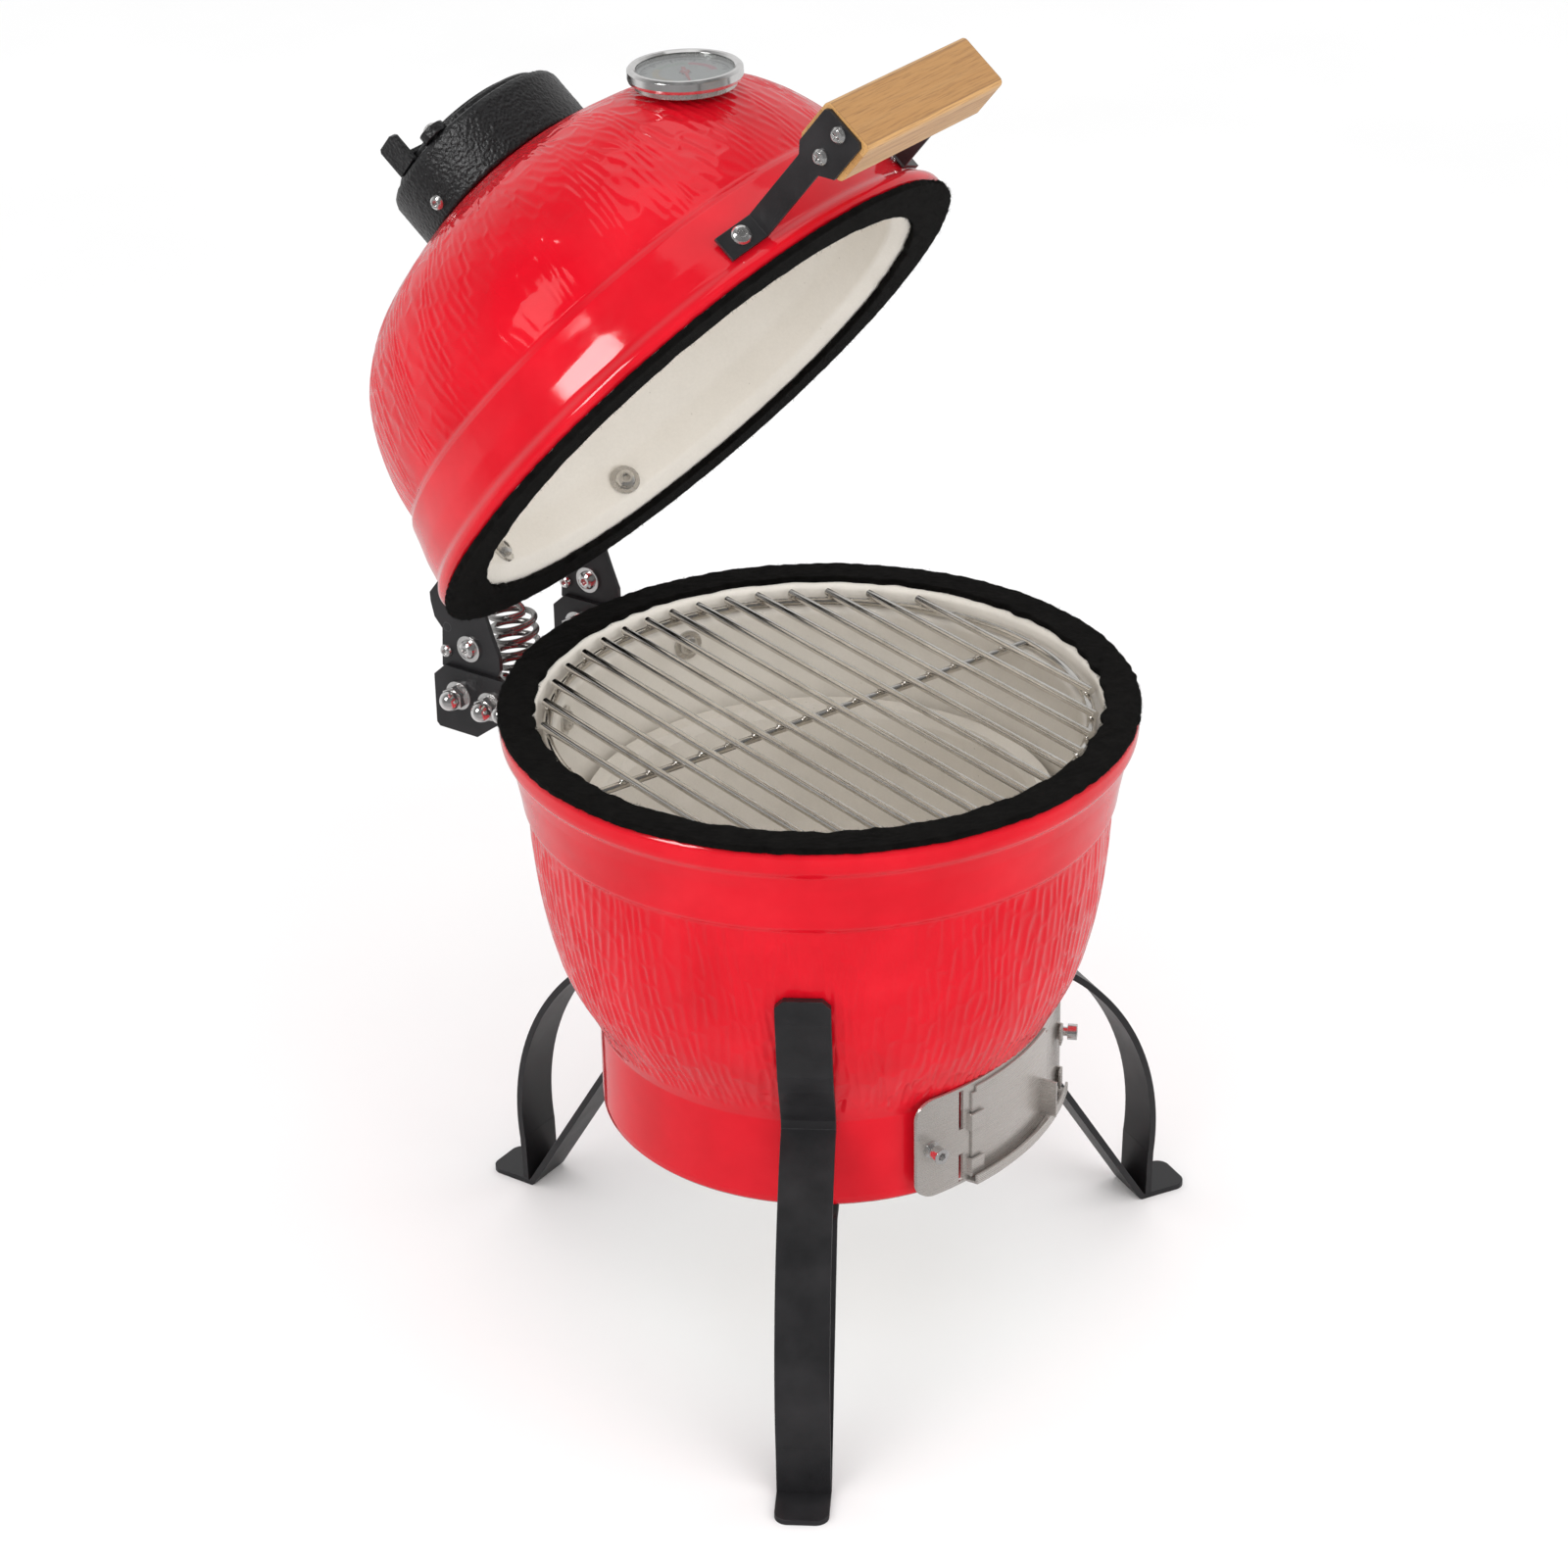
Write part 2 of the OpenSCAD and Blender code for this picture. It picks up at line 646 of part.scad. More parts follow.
// Steel bracket: a tab along the lid, a straight neck and an end plate on the grip
module handle_bracket(side) {
    x_in = grip_len / 2 + seat_gap;
    color([0.07, 0.07, 0.075]) on_lid() difference() {
        union() {
            // tab
            translate([0, 0, neck_low]) rotate([0, 0, -90 + side * tab_angle])
                translate([tab_r, side > 0 ? -12.2 : -11.5, 0])
                    cube([bracket_t, 23.7, neck_high - neck_low]);
            // neck and end plate
            plate_yz(side > 0 ? x_in : -x_in - bracket_t, side > 0 ? x_in + bracket_t : -x_in) {
                polygon([
                    [-150.2, neck_low], [-150.2, neck_high], [-197, neck_high], [-202.5, grip_h + 13],
                    [-225, grip_h + 13], [-227, grip_h + 11], [-227, grip_h - 10],
                    [-225, grip_h - 12], [-202.5, grip_h - 12], [-197, neck_low]
                ]);
            }
        }
        handle_bolt_place(side) rod_x(-6, 3, handle_bolt_r + 0.2);
        for (y = grip_screw_y)
            translate([side * grip_len / 2, y, grip_h]) rod_x(-5, 5, 2.2);
    }
}

grip_screw_y = [grip_y - 5.9, grip_y + 10.2];

module handle_bracket_left() { handle_bracket(-1); }
module handle_bracket_right() { handle_bracket(1); }

module handle_grip() {
    deep = grip_w / 2;
    tall = grip_tall / 2;
    soft = 3;
    color([0.79, 0.58, 0.33]) on_lid() translate([0, grip_y, grip_h]) difference() {
        rotate([0, 90, 0]) linear_extrude(grip_len, center = true) union() {
            square([2 * tall, 2 * (deep - soft)], center = true);
            square([2 * (tall - soft), 2 * deep], center = true);
            for (a = [-1, 1], b = [-1, 1])
                translate([a * (tall - soft), b * (deep - soft)]) circle(r = soft);
        }
        for (side = [-1, 1], y = grip_screw_y)
            translate([side * grip_len / 2, y - grip_y, 0]) rod_x(-18, 18, 2.05);
    }
}

// Wood screws through the end plates into the grip
module handle_screws() {
    color([0.80, 0.80, 0.81]) on_lid()
        for (side = [-1, 1], y = grip_screw_y)
            translate([side * (grip_len / 2 + bracket_t + 2 * seat_gap), y, grip_h])
                rotate([0, 0, side > 0 ? 180 : 0]) {
                    difference() {
                        rotate([0, -90, 0]) rotate_extrude()
                            polygon([[0, 0], [4.1, 0], [4.1, 0.9], [3, 2.3], [0, 2.7]]);
                        translate([-3.2, -2.1, -0.35]) cube([1.7, 4.2, 0.7]);
                        translate([-3.2, -0.35, -2.1]) cube([1.7, 0.7, 4.2]);
                    }
                    rod_x(-0.1, 17, 2);
                }
}

module handle_bolts() {
    reach = tab_r - wall_in_lid + bracket_t + 6;
    color([0.80, 0.80, 0.81]) on_lid()
        for (side = [-1, 1])
            handle_bolt_place(side) {
                translate([seat_gap, 0, 0]) mirror([1, 0, 0]) button_head(5.1, 3);
                rod_x(-reach, 0.1, handle_bolt_r);
            }
}

// Inside the lid: a washer and a nut on each handle bolt
module handle_nuts() {
    inner = wall_in_lid - washer_seat;
    color([0.78, 0.77, 0.75]) on_lid()
        for (side = [-1, 1])
            translate([0, 0, handle_bolt_h]) rotate([0, 0, -90 + side * tab_angle])
                translate([inner, 0, 0]) difference() {
                    union() {
                        rod_x(-1.5, 0, 8);
                        translate([-5.5, 0, 0]) rotate([0, 90, 0]) cylinder(h = 4.1, r = 5.6, $fn = 6);
                    }
                    rod_x(-8, 2, handle_bolt_r + pin_gap);
                }
}

// ---------- thermometer ----------

case_r = 26.7;
well_r = 25.1;

module thermometer_case() {
    color([0.55, 0.55, 0.56]) thermometer_place() difference() {
        union() {
            translate([0, 0, -6.3]) cylinder(h = 5.2, r = case_r);
            translate([0, 0, case_low]) cylinder(h = 3.5, r = case_r - 1.2);
            translate([0, 0, nut_seat - 8]) cylinder(h = case_low + 0.2 - nut_seat + 8, r = 6);
        }
        translate([0, 0, -4.2]) cylinder(h = 5, r = well_r);
        translate([0, 0, nut_seat - 9]) cylinder(h = 44, r = 3.2);
    }
}

module thermometer_bezel() {
    color([0.82, 0.82, 0.83]) thermometer_place() rotate_extrude() polygon([
        [case_r + pin_gap, -6.2], [case_r + 1.6, -6.2], [case_r + 2, -4.6], [case_r + 1.9, -1],
        [case_r + 0.8, 0.2], [case_r - 1, 0.2], [well_r - 0.9, -0.9], [case_r + pin_gap, -0.95]
    ]);
}

module thermometer_dial() {
    color([0.90, 0.90, 0.88]) thermometer_place() translate([0, 0, -4.18]) difference() {
        cylinder(h = 0.6, r = well_r - 0.1);
        translate([0, 0, -1]) cylinder(h = 3, r = 3.2);
    }
}

// Needle at rest at the low end of the scale
module thermometer_pointer() {
    color([0.75, 0.08, 0.08]) thermometer_place() translate([0, 0, -3.2]) {
        difference() {
            union() {
                cylinder(h = 0.5, r = 2.4);
                rotate([0, 0, 225]) linear_extrude(0.5)
                    polygon([[-7, -0.9], [-7, 0.9], [0, 1], [19, 0.25], [19, -0.25], [0, -1]]);
            }
            translate([0, 0, -1]) cylinder(h = 3, r = 0.8 + pin_gap);
        }
    }
}

module thermometer_lens() {
    color([0.75, 0.80, 0.82, 0.4]) thermometer_place() translate([0, 0, -2.1]) cylinder(h = 1, r = well_r - 0.1);
}

module thermometer_stem() {
    color([0.75, 0.75, 0.76]) thermometer_place() union() {
        translate([0, 0, -78]) cylinder(h = 74, r = 3);
        translate([0, 0, -78]) sphere(r = 3);
        translate([0, 0, -4.1]) cylinder(h = 1.6, r = 0.8);
    }
}

module thermometer_nut() {
    color([0.75, 0.75, 0.76]) thermometer_place() translate([0, 0, nut_seat - seat_gap - 6.4]) difference() {
        union() {
            cylinder(h = 5.1, r = 11, $fn = 6);
            translate([0, 0, 5]) cylinder(h = 1.4, r = 12);
        }
        translate([0, 0, -1]) cylinder(h = 9, r = 6 + pin_gap);
    }
}

// ---------- chimney ----------

collar_low = 150.6;
ear_at = [46 * cos(204), 46 * sin(204)];    // pivot of the swivelling cover
lever_angle = 175.7;
cover_low = collar_top + 0.2;
cover_t = 3.6;
wheel_r = 38;
lever_r = 46;           // inner face of the lever
lever_low = collar_top + 0.5;
wheel_low = cover_low + cover_t + 0.1;
wheel_t = 2.4;
petals = 5;

// Openings spaced evenly around the chimney axis
module petal_holes() {
    for (i = [0 : petals - 1])
        rotate([0, 0, i * 360 / petals + 10]) translate([23, 0, -1]) cylinder(h = 12, r = 6.6);
}

module chimney_collar() {
    color([0.06, 0.06, 0.065]) on_lid() difference() {
        turned([
            [49, collar_low], [collar_r - 0.6, collar_low], [collar_r, collar_low + 1], [collar_r, collar_top - 4],
            [collar_r - 1.2, collar_top - 1.2], [collar_r - 4, collar_top], [38, collar_top],
            [36, collar_top - 1.5], [36, 173.5], [38, 170.4], [49, 170.4]
        ]);
        translate([ear_at[0], ear_at[1], collar_top - 9]) cylinder(h = 12, r = 2 + pin_gap);
        for (a = [0, 180])
            rotate([0, 0, a]) translate([0, 0, 159]) rod_x(45, 56, 2 + pin_gap);
    }
}

module collar_screws() {
    color([0.80, 0.80, 0.81]) on_lid()
        for (a = [0, 180])
            rotate([0, 0, a]) translate([collar_r + seat_gap, 0, 159]) mirror([1, 0, 0]) {
                button_head(4, 2.4);
                rod_x(-0.1, 4.3, 2);
            }
}

module collar_pivot_screw() {
    color([0.80, 0.80, 0.81]) on_lid() translate([ear_at[0], ear_at[1], 0]) {
        translate([0, 0, collar_top - 8]) cylinder(h = 13.5, r = 2);
        translate([0, 0, collar_top + 5.3]) rotate([0, 90, 0]) button_head(4, 2.4);
    }
}

module chimney_cover() {
    color([0.06, 0.06, 0.065]) on_lid() difference() {
        union() {
            translate([0, 0, cover_low]) rotate_extrude() polygon([
                [0, 0], [cover_r, 0], [cover_r, cover_t - 1.2], [cover_r - 1.2, cover_t], [0, cover_t]
            ]);
            translate([ear_at[0], ear_at[1], cover_low]) cylinder(h = 5, r = 7);
        }
        translate([0, 0, cover_low]) petal_holes();
        translate([ear_at[0], ear_at[1], cover_low - 1]) cylinder(h = 8, r = 2 + pin_gap);
        translate([0, 0, cover_low - 1]) cylinder(h = 8, r = 2 + pin_gap);
        translate([0, 0, cover_low - 1]) cylinder(h = 2.8, r = 4.2);
    }
}

// Turning wheel over the cover, with an upright lever
module damper_wheel() {
    color([0.06, 0.06, 0.065]) on_lid() difference() {
        union() {
            translate([0, 0, wheel_low]) cylinder(h = wheel_t, r = wheel_r);
            rotate([0, 0, lever_angle]) {
                translate([wheel_r - 3, -7, wheel_low]) cube([lever_r + 3 - wheel_r + 3, 14, wheel_t]);
                translate([lever_r, -7, lever_low]) rotate([90, 0, 90]) linear_extrude(4)
                    polygon([[0, 0], [14, 0], [14, 16], [12.5, 17.5], [1.5, 17.5], [0, 16]]);
            }
        }
        translate([0, 0, wheel_low]) rotate([0, 0, 180 / petals]) petal_holes();
        translate([0, 0, wheel_low - 1]) cylinder(h = 8, r = 2 + pin_gap);
    }
}

module damper_screw() {
    color([0.80, 0.80, 0.81]) on_lid() {
        translate([0, 0, cover_low + 1]) cylinder(h = cover_t + wheel_t - 0.5, r = 2);
        translate([0, 0, wheel_low + wheel_t + 0.1]) rotate([0, 90, 0]) button_head(4, 2);
        translate([0, 0, cover_low + 0.3]) cylinder(h = 1.4, r = 4);
    }
}

// ---------- draft door ----------

frame_low = 126;
frame_high = 184;
frame_t = 1.5;
door_t = 1.2;
frame_touch = foot_r + 0.6;         // where the middle of the frame meets the ceramic
bend_y = vent_bend - frame_touch;   // centre of the bend, behind the grill axis
frame_half = 76;                    // half the width of the frame
door_left = -43.5;
door_right = 31;
clip_left = -44.8;                  // inside of the end clips, before and beyond the door
clip_right = 57.2;
clip_h = 10;
vent_bolt_x = 67.4;
vent_bolt_z = 155;

// Places a child, drawn along +X, square to the vent frame at a bolt; x = 0 is the frame's back
module vent_bolt_place(side) {
    turn = asin(vent_bolt_x / vent_bend);
    rotate([0, 0, vent_turn]) translate([0, bend_y, vent_bolt_z]) rotate([0, 0, -90 + side * turn])
        translate([vent_bend, 0, 0]) children();
}

// Part of a bent sheet between two radii, two distances across and two heights
module bent_sheet(r0, r1, x0, x1, z0, z1) {
    rotate([0, 0, vent_turn]) intersection() {
        translate([0, bend_y, z0]) difference() {
            cylinder(h = z1 - z0, r = r1);
            translate([0, 0, -1]) cylinder(h = z1 - z0 + 2, r = r0);
        }
        translate([x0, -bend_y - 2 * vent_bend, z0]) cube([x1 - x0, 2 * vent_bend, z1 - z0]);
    }
}

// A window with square sides through the bent sheet
module vent_window(x0, x1, z0, z1) {
    rotate([0, 0, vent_turn]) translate([x0, -160, z0]) cube([x1 - x0, 80, z1 - z0]);
}

module vent_frame() {
    back = vent_bend;
    front = vent_bend + frame_t;
    lip = front + door_t + 0.9;
    color([0.72, 0.70, 0.66]) difference() {
        union() {
            difference() {
                bent_sheet(back, front, -frame_half, frame_half, frame_low, frame_high);
                vent_window(-38, -15, port_z + 2, port_z + port_h);
                vent_window(-51, -48.2, 159, frame_high - 2);
                vent_window(-51, -48.2, frame_low + 1.5, 144);
                vent_window(33, 35, 144, 168);
            }
            // bottom channel
            bent_sheet(front - 0.2, lip + 4.4, clip_left - 1.2, clip_right + 1.2, frame_low, frame_low + 1.2);
            bent_sheet(lip + 3.2, lip + 4.4, clip_left - 1.2, clip_right + 1.2, frame_low, frame_low + 5.5);
            // clips over both ends of the door's travel
            for (z = [130, 157]) {
                bent_sheet(lip, lip + 1.2, clip_left - 1.2, clip_left + 8, z, z + clip_h);
                bent_sheet(front - 0.2, lip + 1.2, clip_left - 1.2, clip_left, z, z + clip_h);
                bent_sheet(lip, lip + 1.2, clip_right - 5, clip_right + 1.2, z, z + clip_h);
                bent_sheet(front - 0.2, lip + 1.2, clip_right, clip_right + 1.2, z, z + clip_h);
            }
        }
        for (side = [-1, 1]) {
            vent_bolt_place(side) rod_x(-1, 3, 2.5 + pin_gap);
            for (z = [frame_low, frame_high])
                vent_corner(side, z);
        }
    }
}

// Cutter that rounds one corner of the frame
module vent_corner(side, z) {
    soft = 10;
    down = z == frame_low ? 1 : -1;
    rotate([0, 0, vent_turn]) difference() {
        translate([side > 0 ? frame_half - soft : -frame_half - 1, -170, down > 0 ? z - 1 : z - soft])
            cube([soft + 1, 90, soft + 1]);
        translate([side * (frame_half - soft), -60, z + down * soft]) rotate([90, 0, 0])
            cylinder(h = 130, r = soft);
    }
}

module vent_frame_bolts() {
    stand = 4.5;
    color([0.80, 0.80, 0.81])
        for (side = [-1, 1])
            vent_bolt_place(side) {
                rod_x(-12, frame_t + stand, 2.5);
                translate([frame_t + seat_gap, 0, 0]) rod_x(0, 1, 4.6);
                difference() {
                    translate([frame_t + stand, 0, 0]) rod_x(0, 5, 4.3);
                    translate([frame_t + stand + 2, 0, 0]) rotate([0, 90, 0]) cylinder(h = 4, r = 2.3, $fn = 6);
                }
            }
}

module vent_door() {
    inner = vent_bend + frame_t + 0.15;
    outer = inner + door_t;
    pull = 22;
    color([0.74, 0.73, 0.70]) union() {
        difference() {
            bent_sheet(inner, outer, door_left, door_right, frame_low + 1.5, frame_high - 2.5);
            vent_window(door_left - 1, door_left + 3, frame_high - 5.5, frame_high);
            vent_window(door_right - 3, door_right + 1, frame_high - 5.5, frame_high);
        }
        // finger pull bent out from the sheet
        rotate([0, 0, vent_turn]) intersection() {
            translate([pull, -150, 133]) cube([door_t, 60, 21]);
            translate([0, bend_y, 130]) difference() {
                cylinder(h = 30, r = outer + 9);
                translate([0, 0, -1]) cylinder(h = 32, r = inner + 0.4);
            }
        }
    }
}

base_shell();
base_gasket();
stand_ring();
leg_front_left();
leg_front_right();
leg_rear();
strut_front_left();
strut_front_right();
strut_rear();
hinge_base_bracket();
hinge_side_arms();
hinge_clamp_bolts();
hinge_clamp_spacers();
hinge_cap_nuts();
hinge_pivot_bolts();
hinge_pivot_nuts();
base_anchor_bolts();
base_anchor_nuts();
vent_frame();
vent_frame_bolts();
vent_door();
fire_bowl();
charcoal_grate();
grate_ring();
grate_bars();
grate_crossbar();
lid_shell();
lid_gasket();
hinge_lid_plates();
lid_anchor_bolts();
lid_anchor_nuts();
hinge_stop_rivets();
spring_pin();
hinge_spring();
handle_bracket_left();
handle_bracket_right();
handle_grip();
handle_screws();
handle_bolts();
handle_nuts();
thermometer_case();
thermometer_bezel();
thermometer_dial();
thermometer_pointer();
thermometer_lens();
thermometer_stem();
thermometer_nut();
chimney_collar();
collar_screws();
collar_pivot_screw();
chimney_cover();
damper_wheel();
damper_screw();
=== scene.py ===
import json
import math
import random

import bmesh
import bpy
import numpy as np
from mathutils import Matrix, Vector
from mathutils.bvhtree import BVHTree


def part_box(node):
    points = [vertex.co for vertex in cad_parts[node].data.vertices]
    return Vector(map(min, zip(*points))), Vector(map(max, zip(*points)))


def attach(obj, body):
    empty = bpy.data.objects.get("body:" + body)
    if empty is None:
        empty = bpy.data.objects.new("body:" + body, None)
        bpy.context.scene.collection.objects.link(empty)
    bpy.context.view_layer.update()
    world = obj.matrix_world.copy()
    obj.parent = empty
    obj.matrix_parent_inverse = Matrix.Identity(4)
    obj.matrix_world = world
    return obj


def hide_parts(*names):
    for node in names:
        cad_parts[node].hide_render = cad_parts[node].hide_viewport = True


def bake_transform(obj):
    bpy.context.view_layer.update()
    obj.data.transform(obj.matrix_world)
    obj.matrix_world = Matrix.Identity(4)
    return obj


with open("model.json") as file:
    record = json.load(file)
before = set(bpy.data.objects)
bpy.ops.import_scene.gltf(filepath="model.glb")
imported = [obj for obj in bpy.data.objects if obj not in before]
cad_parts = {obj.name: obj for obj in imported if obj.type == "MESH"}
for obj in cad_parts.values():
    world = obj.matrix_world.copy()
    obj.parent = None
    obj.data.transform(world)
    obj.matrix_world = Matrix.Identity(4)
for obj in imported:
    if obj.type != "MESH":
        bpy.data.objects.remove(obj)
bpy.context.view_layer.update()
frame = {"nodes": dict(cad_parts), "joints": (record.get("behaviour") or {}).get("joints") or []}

nodes = frame["nodes"]
joints = {j["name"]: j for j in frame["joints"]}
scene = bpy.context.scene

# ------------ the lid's own frame
# The lid stands open in the frame. lid_rest carries a point written for a level lid, with its
# axis on +Z and height 0 at the underside of its gasket, to its place on the open lid.
SEAL_GAP = 0.0004
hinge = joints["lid_hinge"]
pivot = Vector(hinge["pos_m"])
open_angle = -math.radians(hinge["range_deg"][0])
rim_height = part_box("base_gasket")[1].z + SEAL_GAP
lid_rest = (
    Matrix.Translation(pivot)
    @ Matrix.Rotation(-open_angle, 4, "X")
    @ Matrix.Translation(Vector((0, 0, rim_height)) - pivot)
)


# ------------ material helpers
NOISE_LOW, NOISE_HIGH = 0.3, 0.7        # most of a noise texture's values lie between these


class Graph:
    """A material's node tree, with one short method for each kind of node used here."""

    def __init__(self, name):
        self.material = bpy.data.materials.new(name)
        self.material.use_nodes = True
        self.tree = self.material.node_tree
        self.shader = self.tree.nodes["Principled BSDF"]

    def put(self, socket, value):
        if isinstance(value, bpy.types.NodeSocket):
            self.tree.links.new(value, socket)
        elif isinstance(value, tuple) and len(value) == 3 and socket.type == "RGBA":
            socket.default_value = (*value, 1)
        else:
            socket.default_value = value

    def set(self, **values):
        for key, value in values.items():
            self.put(self.shader.inputs[key.replace("_", " ")], value)
        return self

    def node(self, kind, **settings):
        made = self.tree.nodes.new("ShaderNode" + kind)
        for key, value in settings.items():
            setattr(made, key, value)
        return made

    def place(self, stretch=(1, 1, 1), turn=(0, 0, 0)):
        """Rest position of the shaded point, in metres, stretched along each axis."""
        mapping = self.node("Mapping")
        self.put(mapping.inputs["Vector"], self.node("TexCoord").outputs["Object"])
        mapping.inputs["Scale"].default_value = stretch
        mapping.inputs["Rotation"].default_value = [math.radians(a) for a in turn]
        return mapping.outputs["Vector"]

    def noise(self, size, detail, roughness, at=None, distortion=0):
        """Noise whose features are about size metres across."""
        made = self.node("TexNoise")
        self.put(made.inputs["Vector"], at or self.place())
        made.inputs["Scale"].default_value = 1 / size
        made.inputs["Detail"].default_value = detail
        made.inputs["Roughness"].default_value = roughness
        made.inputs["Distortion"].default_value = distortion
        return made.outputs["Fac"]

    def cells(self, size, feature="F1"):
        """Distance from the middle of the nearest of many cells about size metres across."""
        made = self.node("TexVoronoi", feature=feature)
        self.put(made.inputs["Vector"], self.place())
        made.inputs["Scale"].default_value = 1 / size
        return made.outputs["Distance"]

    def ramp(self, value, *stops):
        """Stops are (position, grey or colour)."""
        made = self.node("ValToRGB")
        self.put(made.inputs["Fac"], value)
        steps = made.color_ramp.elements
        while len(steps) < len(stops):
            steps.new(0.5)
        for step, (position, colour) in zip(steps, stops):
            step.position = position
            step.color = (*colour, 1) if isinstance(colour, tuple) else (colour, colour, colour, 1)
        return made.outputs["Color"]

    def mix(self, factor, a, b):
        """Colour a where factor is 0 and b where it is 1."""
        made = self.node("Mix", data_type="RGBA")
        colour_a, colour_b = (socket for socket in made.inputs if socket.type == "RGBA")
        self.put(made.inputs["Factor"], factor)
        self.put(colour_a, a)
        self.put(colour_b, b)
        return next(socket for socket in made.outputs if socket.type == "RGBA")

    def math(self, how, a, b=0.0):
        made = self.node("Math", operation=how)
        for socket, value in zip(made.inputs, (a, b)):
            self.put(socket, value)
        return made.outputs["Value"]

    def span(self, value, low, high):
        """Noise around 0.5 spread over low to high."""
        made = self.node("MapRange")
        self.put(made.inputs["Value"], value)
        made.inputs["From Min"].default_value = NOISE_LOW
        made.inputs["From Max"].default_value = NOISE_HIGH
        made.inputs["To Min"].default_value = low
        made.inputs["To Max"].default_value = high
        return made.outputs["Result"]

    def bump(self, height, depth, strength, normal=None):
        made = self.node("Bump")
        self.put(made.inputs["Height"], height)
        made.inputs["Distance"].default_value = depth
        made.inputs["Strength"].default_value = strength
        if normal is not None:
            self.put(made.inputs["Normal"], normal)
        return made.outputs["Normal"]

    def rounded(self, radius):
        """A normal that is rounded over at sharp edges."""
        made = self.node("Bevel", samples=6)
        made.inputs["Radius"].default_value = radius
        return made.outputs["Normal"]

    def edges(self, radius):
        """1 along sharp edges, 0 on flat faces."""
        dot = self.node("VectorMath", operation="DOT_PRODUCT")
        self.put(dot.inputs[0], self.rounded(radius))
        self.put(dot.inputs[1], self.node("NewGeometry").outputs["Normal"])
        return self.ramp(dot.outputs["Value"], (0.80, 1.0), (0.985, 0.0))


# Low on the left of the dome the glaze is less shiny. It would mirror a softbox there.
DULL_PATCH = (-0.126, 0.070, 0.600)
DULL_WITHIN, SHINY_BEYOND = 0.022, 0.036


def glaze():
    """Deep red glaze with slow pooling, faint darker freckles and a wet surface."""
    g = Graph("red_glaze")
    pool = g.noise(0.05, 4, 0.55)
    fine = g.noise(0.006, 3, 0.6)
    colour = g.ramp(
        pool,
        (0.30, (0.54, 0.004, 0.012)), (0.55, (0.61, 0.006, 0.016)), (0.75, (0.67, 0.010, 0.021)),
    )
    colour = g.mix(g.ramp(fine, (0.62, 0.0), (0.80, 0.35)), colour, (0.55, 0.004, 0.010))
    specks = g.ramp(g.cells(0.011), (0.0, 1.0), (0.035, 0.0))
    colour = g.mix(g.math("MULTIPLY", specks, 0.5), colour, (0.30, 0.004, 0.006))
    orange_peel = g.bump(g.noise(0.004, 2, 0.5), 0.00006, 0.5)
    ripple = g.bump(g.noise(0.022, 2, 0.4), 0.0005, 0.35, orange_peel)
    reach = g.node("VectorMath", operation="DISTANCE")
    g.put(reach.inputs[0], g.place())
    reach.inputs[1].default_value = DULL_PATCH
    shine = g.ramp(reach.outputs["Value"], (DULL_WITHIN, 0.06), (SHINY_BEYOND, 0.5))
    g.set(Base_Color=colour, Roughness=g.span(fine, 0.07, 0.13), IOR=1.5)
    g.set(Normal=ripple, Specular_IOR_Level=shine)
    return g.material


def bisque(name, light, dark, speckle=0.4):
    """Unglazed pale clay with fine pits and tiny dark specks."""
    g = Graph(name)
    cloud = g.noise(0.06, 4, 0.6)
    grain = g.noise(0.0016, 4, 0.65)
    colour = g.mix(g.span(cloud, 0, 1), dark, light)
    colour = g.mix(g.span(grain, 0.0, 0.22), colour, tuple(c * 0.82 for c in dark))
    specks = g.ramp(g.cells(0.012), (0.0, 1.0), (0.05, 0.0))
    colour = g.mix(g.math("MULTIPLY", specks, speckle), colour, (0.20, 0.15, 0.11))
    pits = g.bump(grain, 0.0002, 0.5)
    wobble = g.bump(g.noise(0.02, 3, 0.5), 0.0007, 0.3, pits)
    g.set(Base_Color=colour, Roughness=g.span(grain, 0.48, 0.68), Normal=wobble)
    g.set(Coat_Weight=0.12, Coat_Roughness=0.35)
    return g.material


def felt():
    """Matted black felt in clumps, with a few paler strands."""
    g = Graph("black_felt")
    tangle = g.noise(0.0012, 5, 0.75, distortion=1.5)
    clumps = g.noise(0.009, 3, 0.6)
    colour = g.mix(g.span(clumps, 0, 1), (0.0025, 0.0022, 0.002), (0.006, 0.0055, 0.005))
    colour = g.mix(g.ramp(tangle, (0.55, 0.0), (0.78, 0.5)), colour, (0.020, 0.018, 0.017))
    g.set(Base_Color=colour, Roughness=0.95, Sheen_Weight=0.015, Sheen_Roughness=0.6)
    g.set(Normal=g.bump(tangle, 0.0007, 0.9), Specular_IOR_Level=0.04)
    return g.material


def powder_coat():
    """Matt black coating, paler in patches along sharp edges: partly rubbed wear, partly a painted
    edge highlight.
    """
    g = Graph("black_powder_coat")
    grain = g.noise(0.0009, 3, 0.6)
    cloud = g.noise(0.035, 4, 0.6)
    edges = g.edges(0.0007)
    in_patches = g.ramp(g.noise(0.02, 4, 0.7), (0.42, 0.0), (0.66, 1.0))
    edge_wear_and_highlight = g.math("MULTIPLY", edges, in_patches)
    colour = g.mix(g.span(cloud, 0, 1), (0.011, 0.011, 0.012), (0.024, 0.023, 0.025))
    # pale grey along sharp edges, in patches: partly rubbed wear, partly a painted highlight
    colour = g.mix(g.math("MULTIPLY", edge_wear_and_highlight, 0.6), colour, (0.12, 0.12, 0.125))
    g.set(Base_Color=colour, Roughness=g.span(cloud, 0.32, 0.46), Metallic=0.1)
    g.set(Normal=g.bump(grain, 0.00008, 0.8, g.rounded(0.0006)), Specular_IOR_Level=0.5)
    return g.material


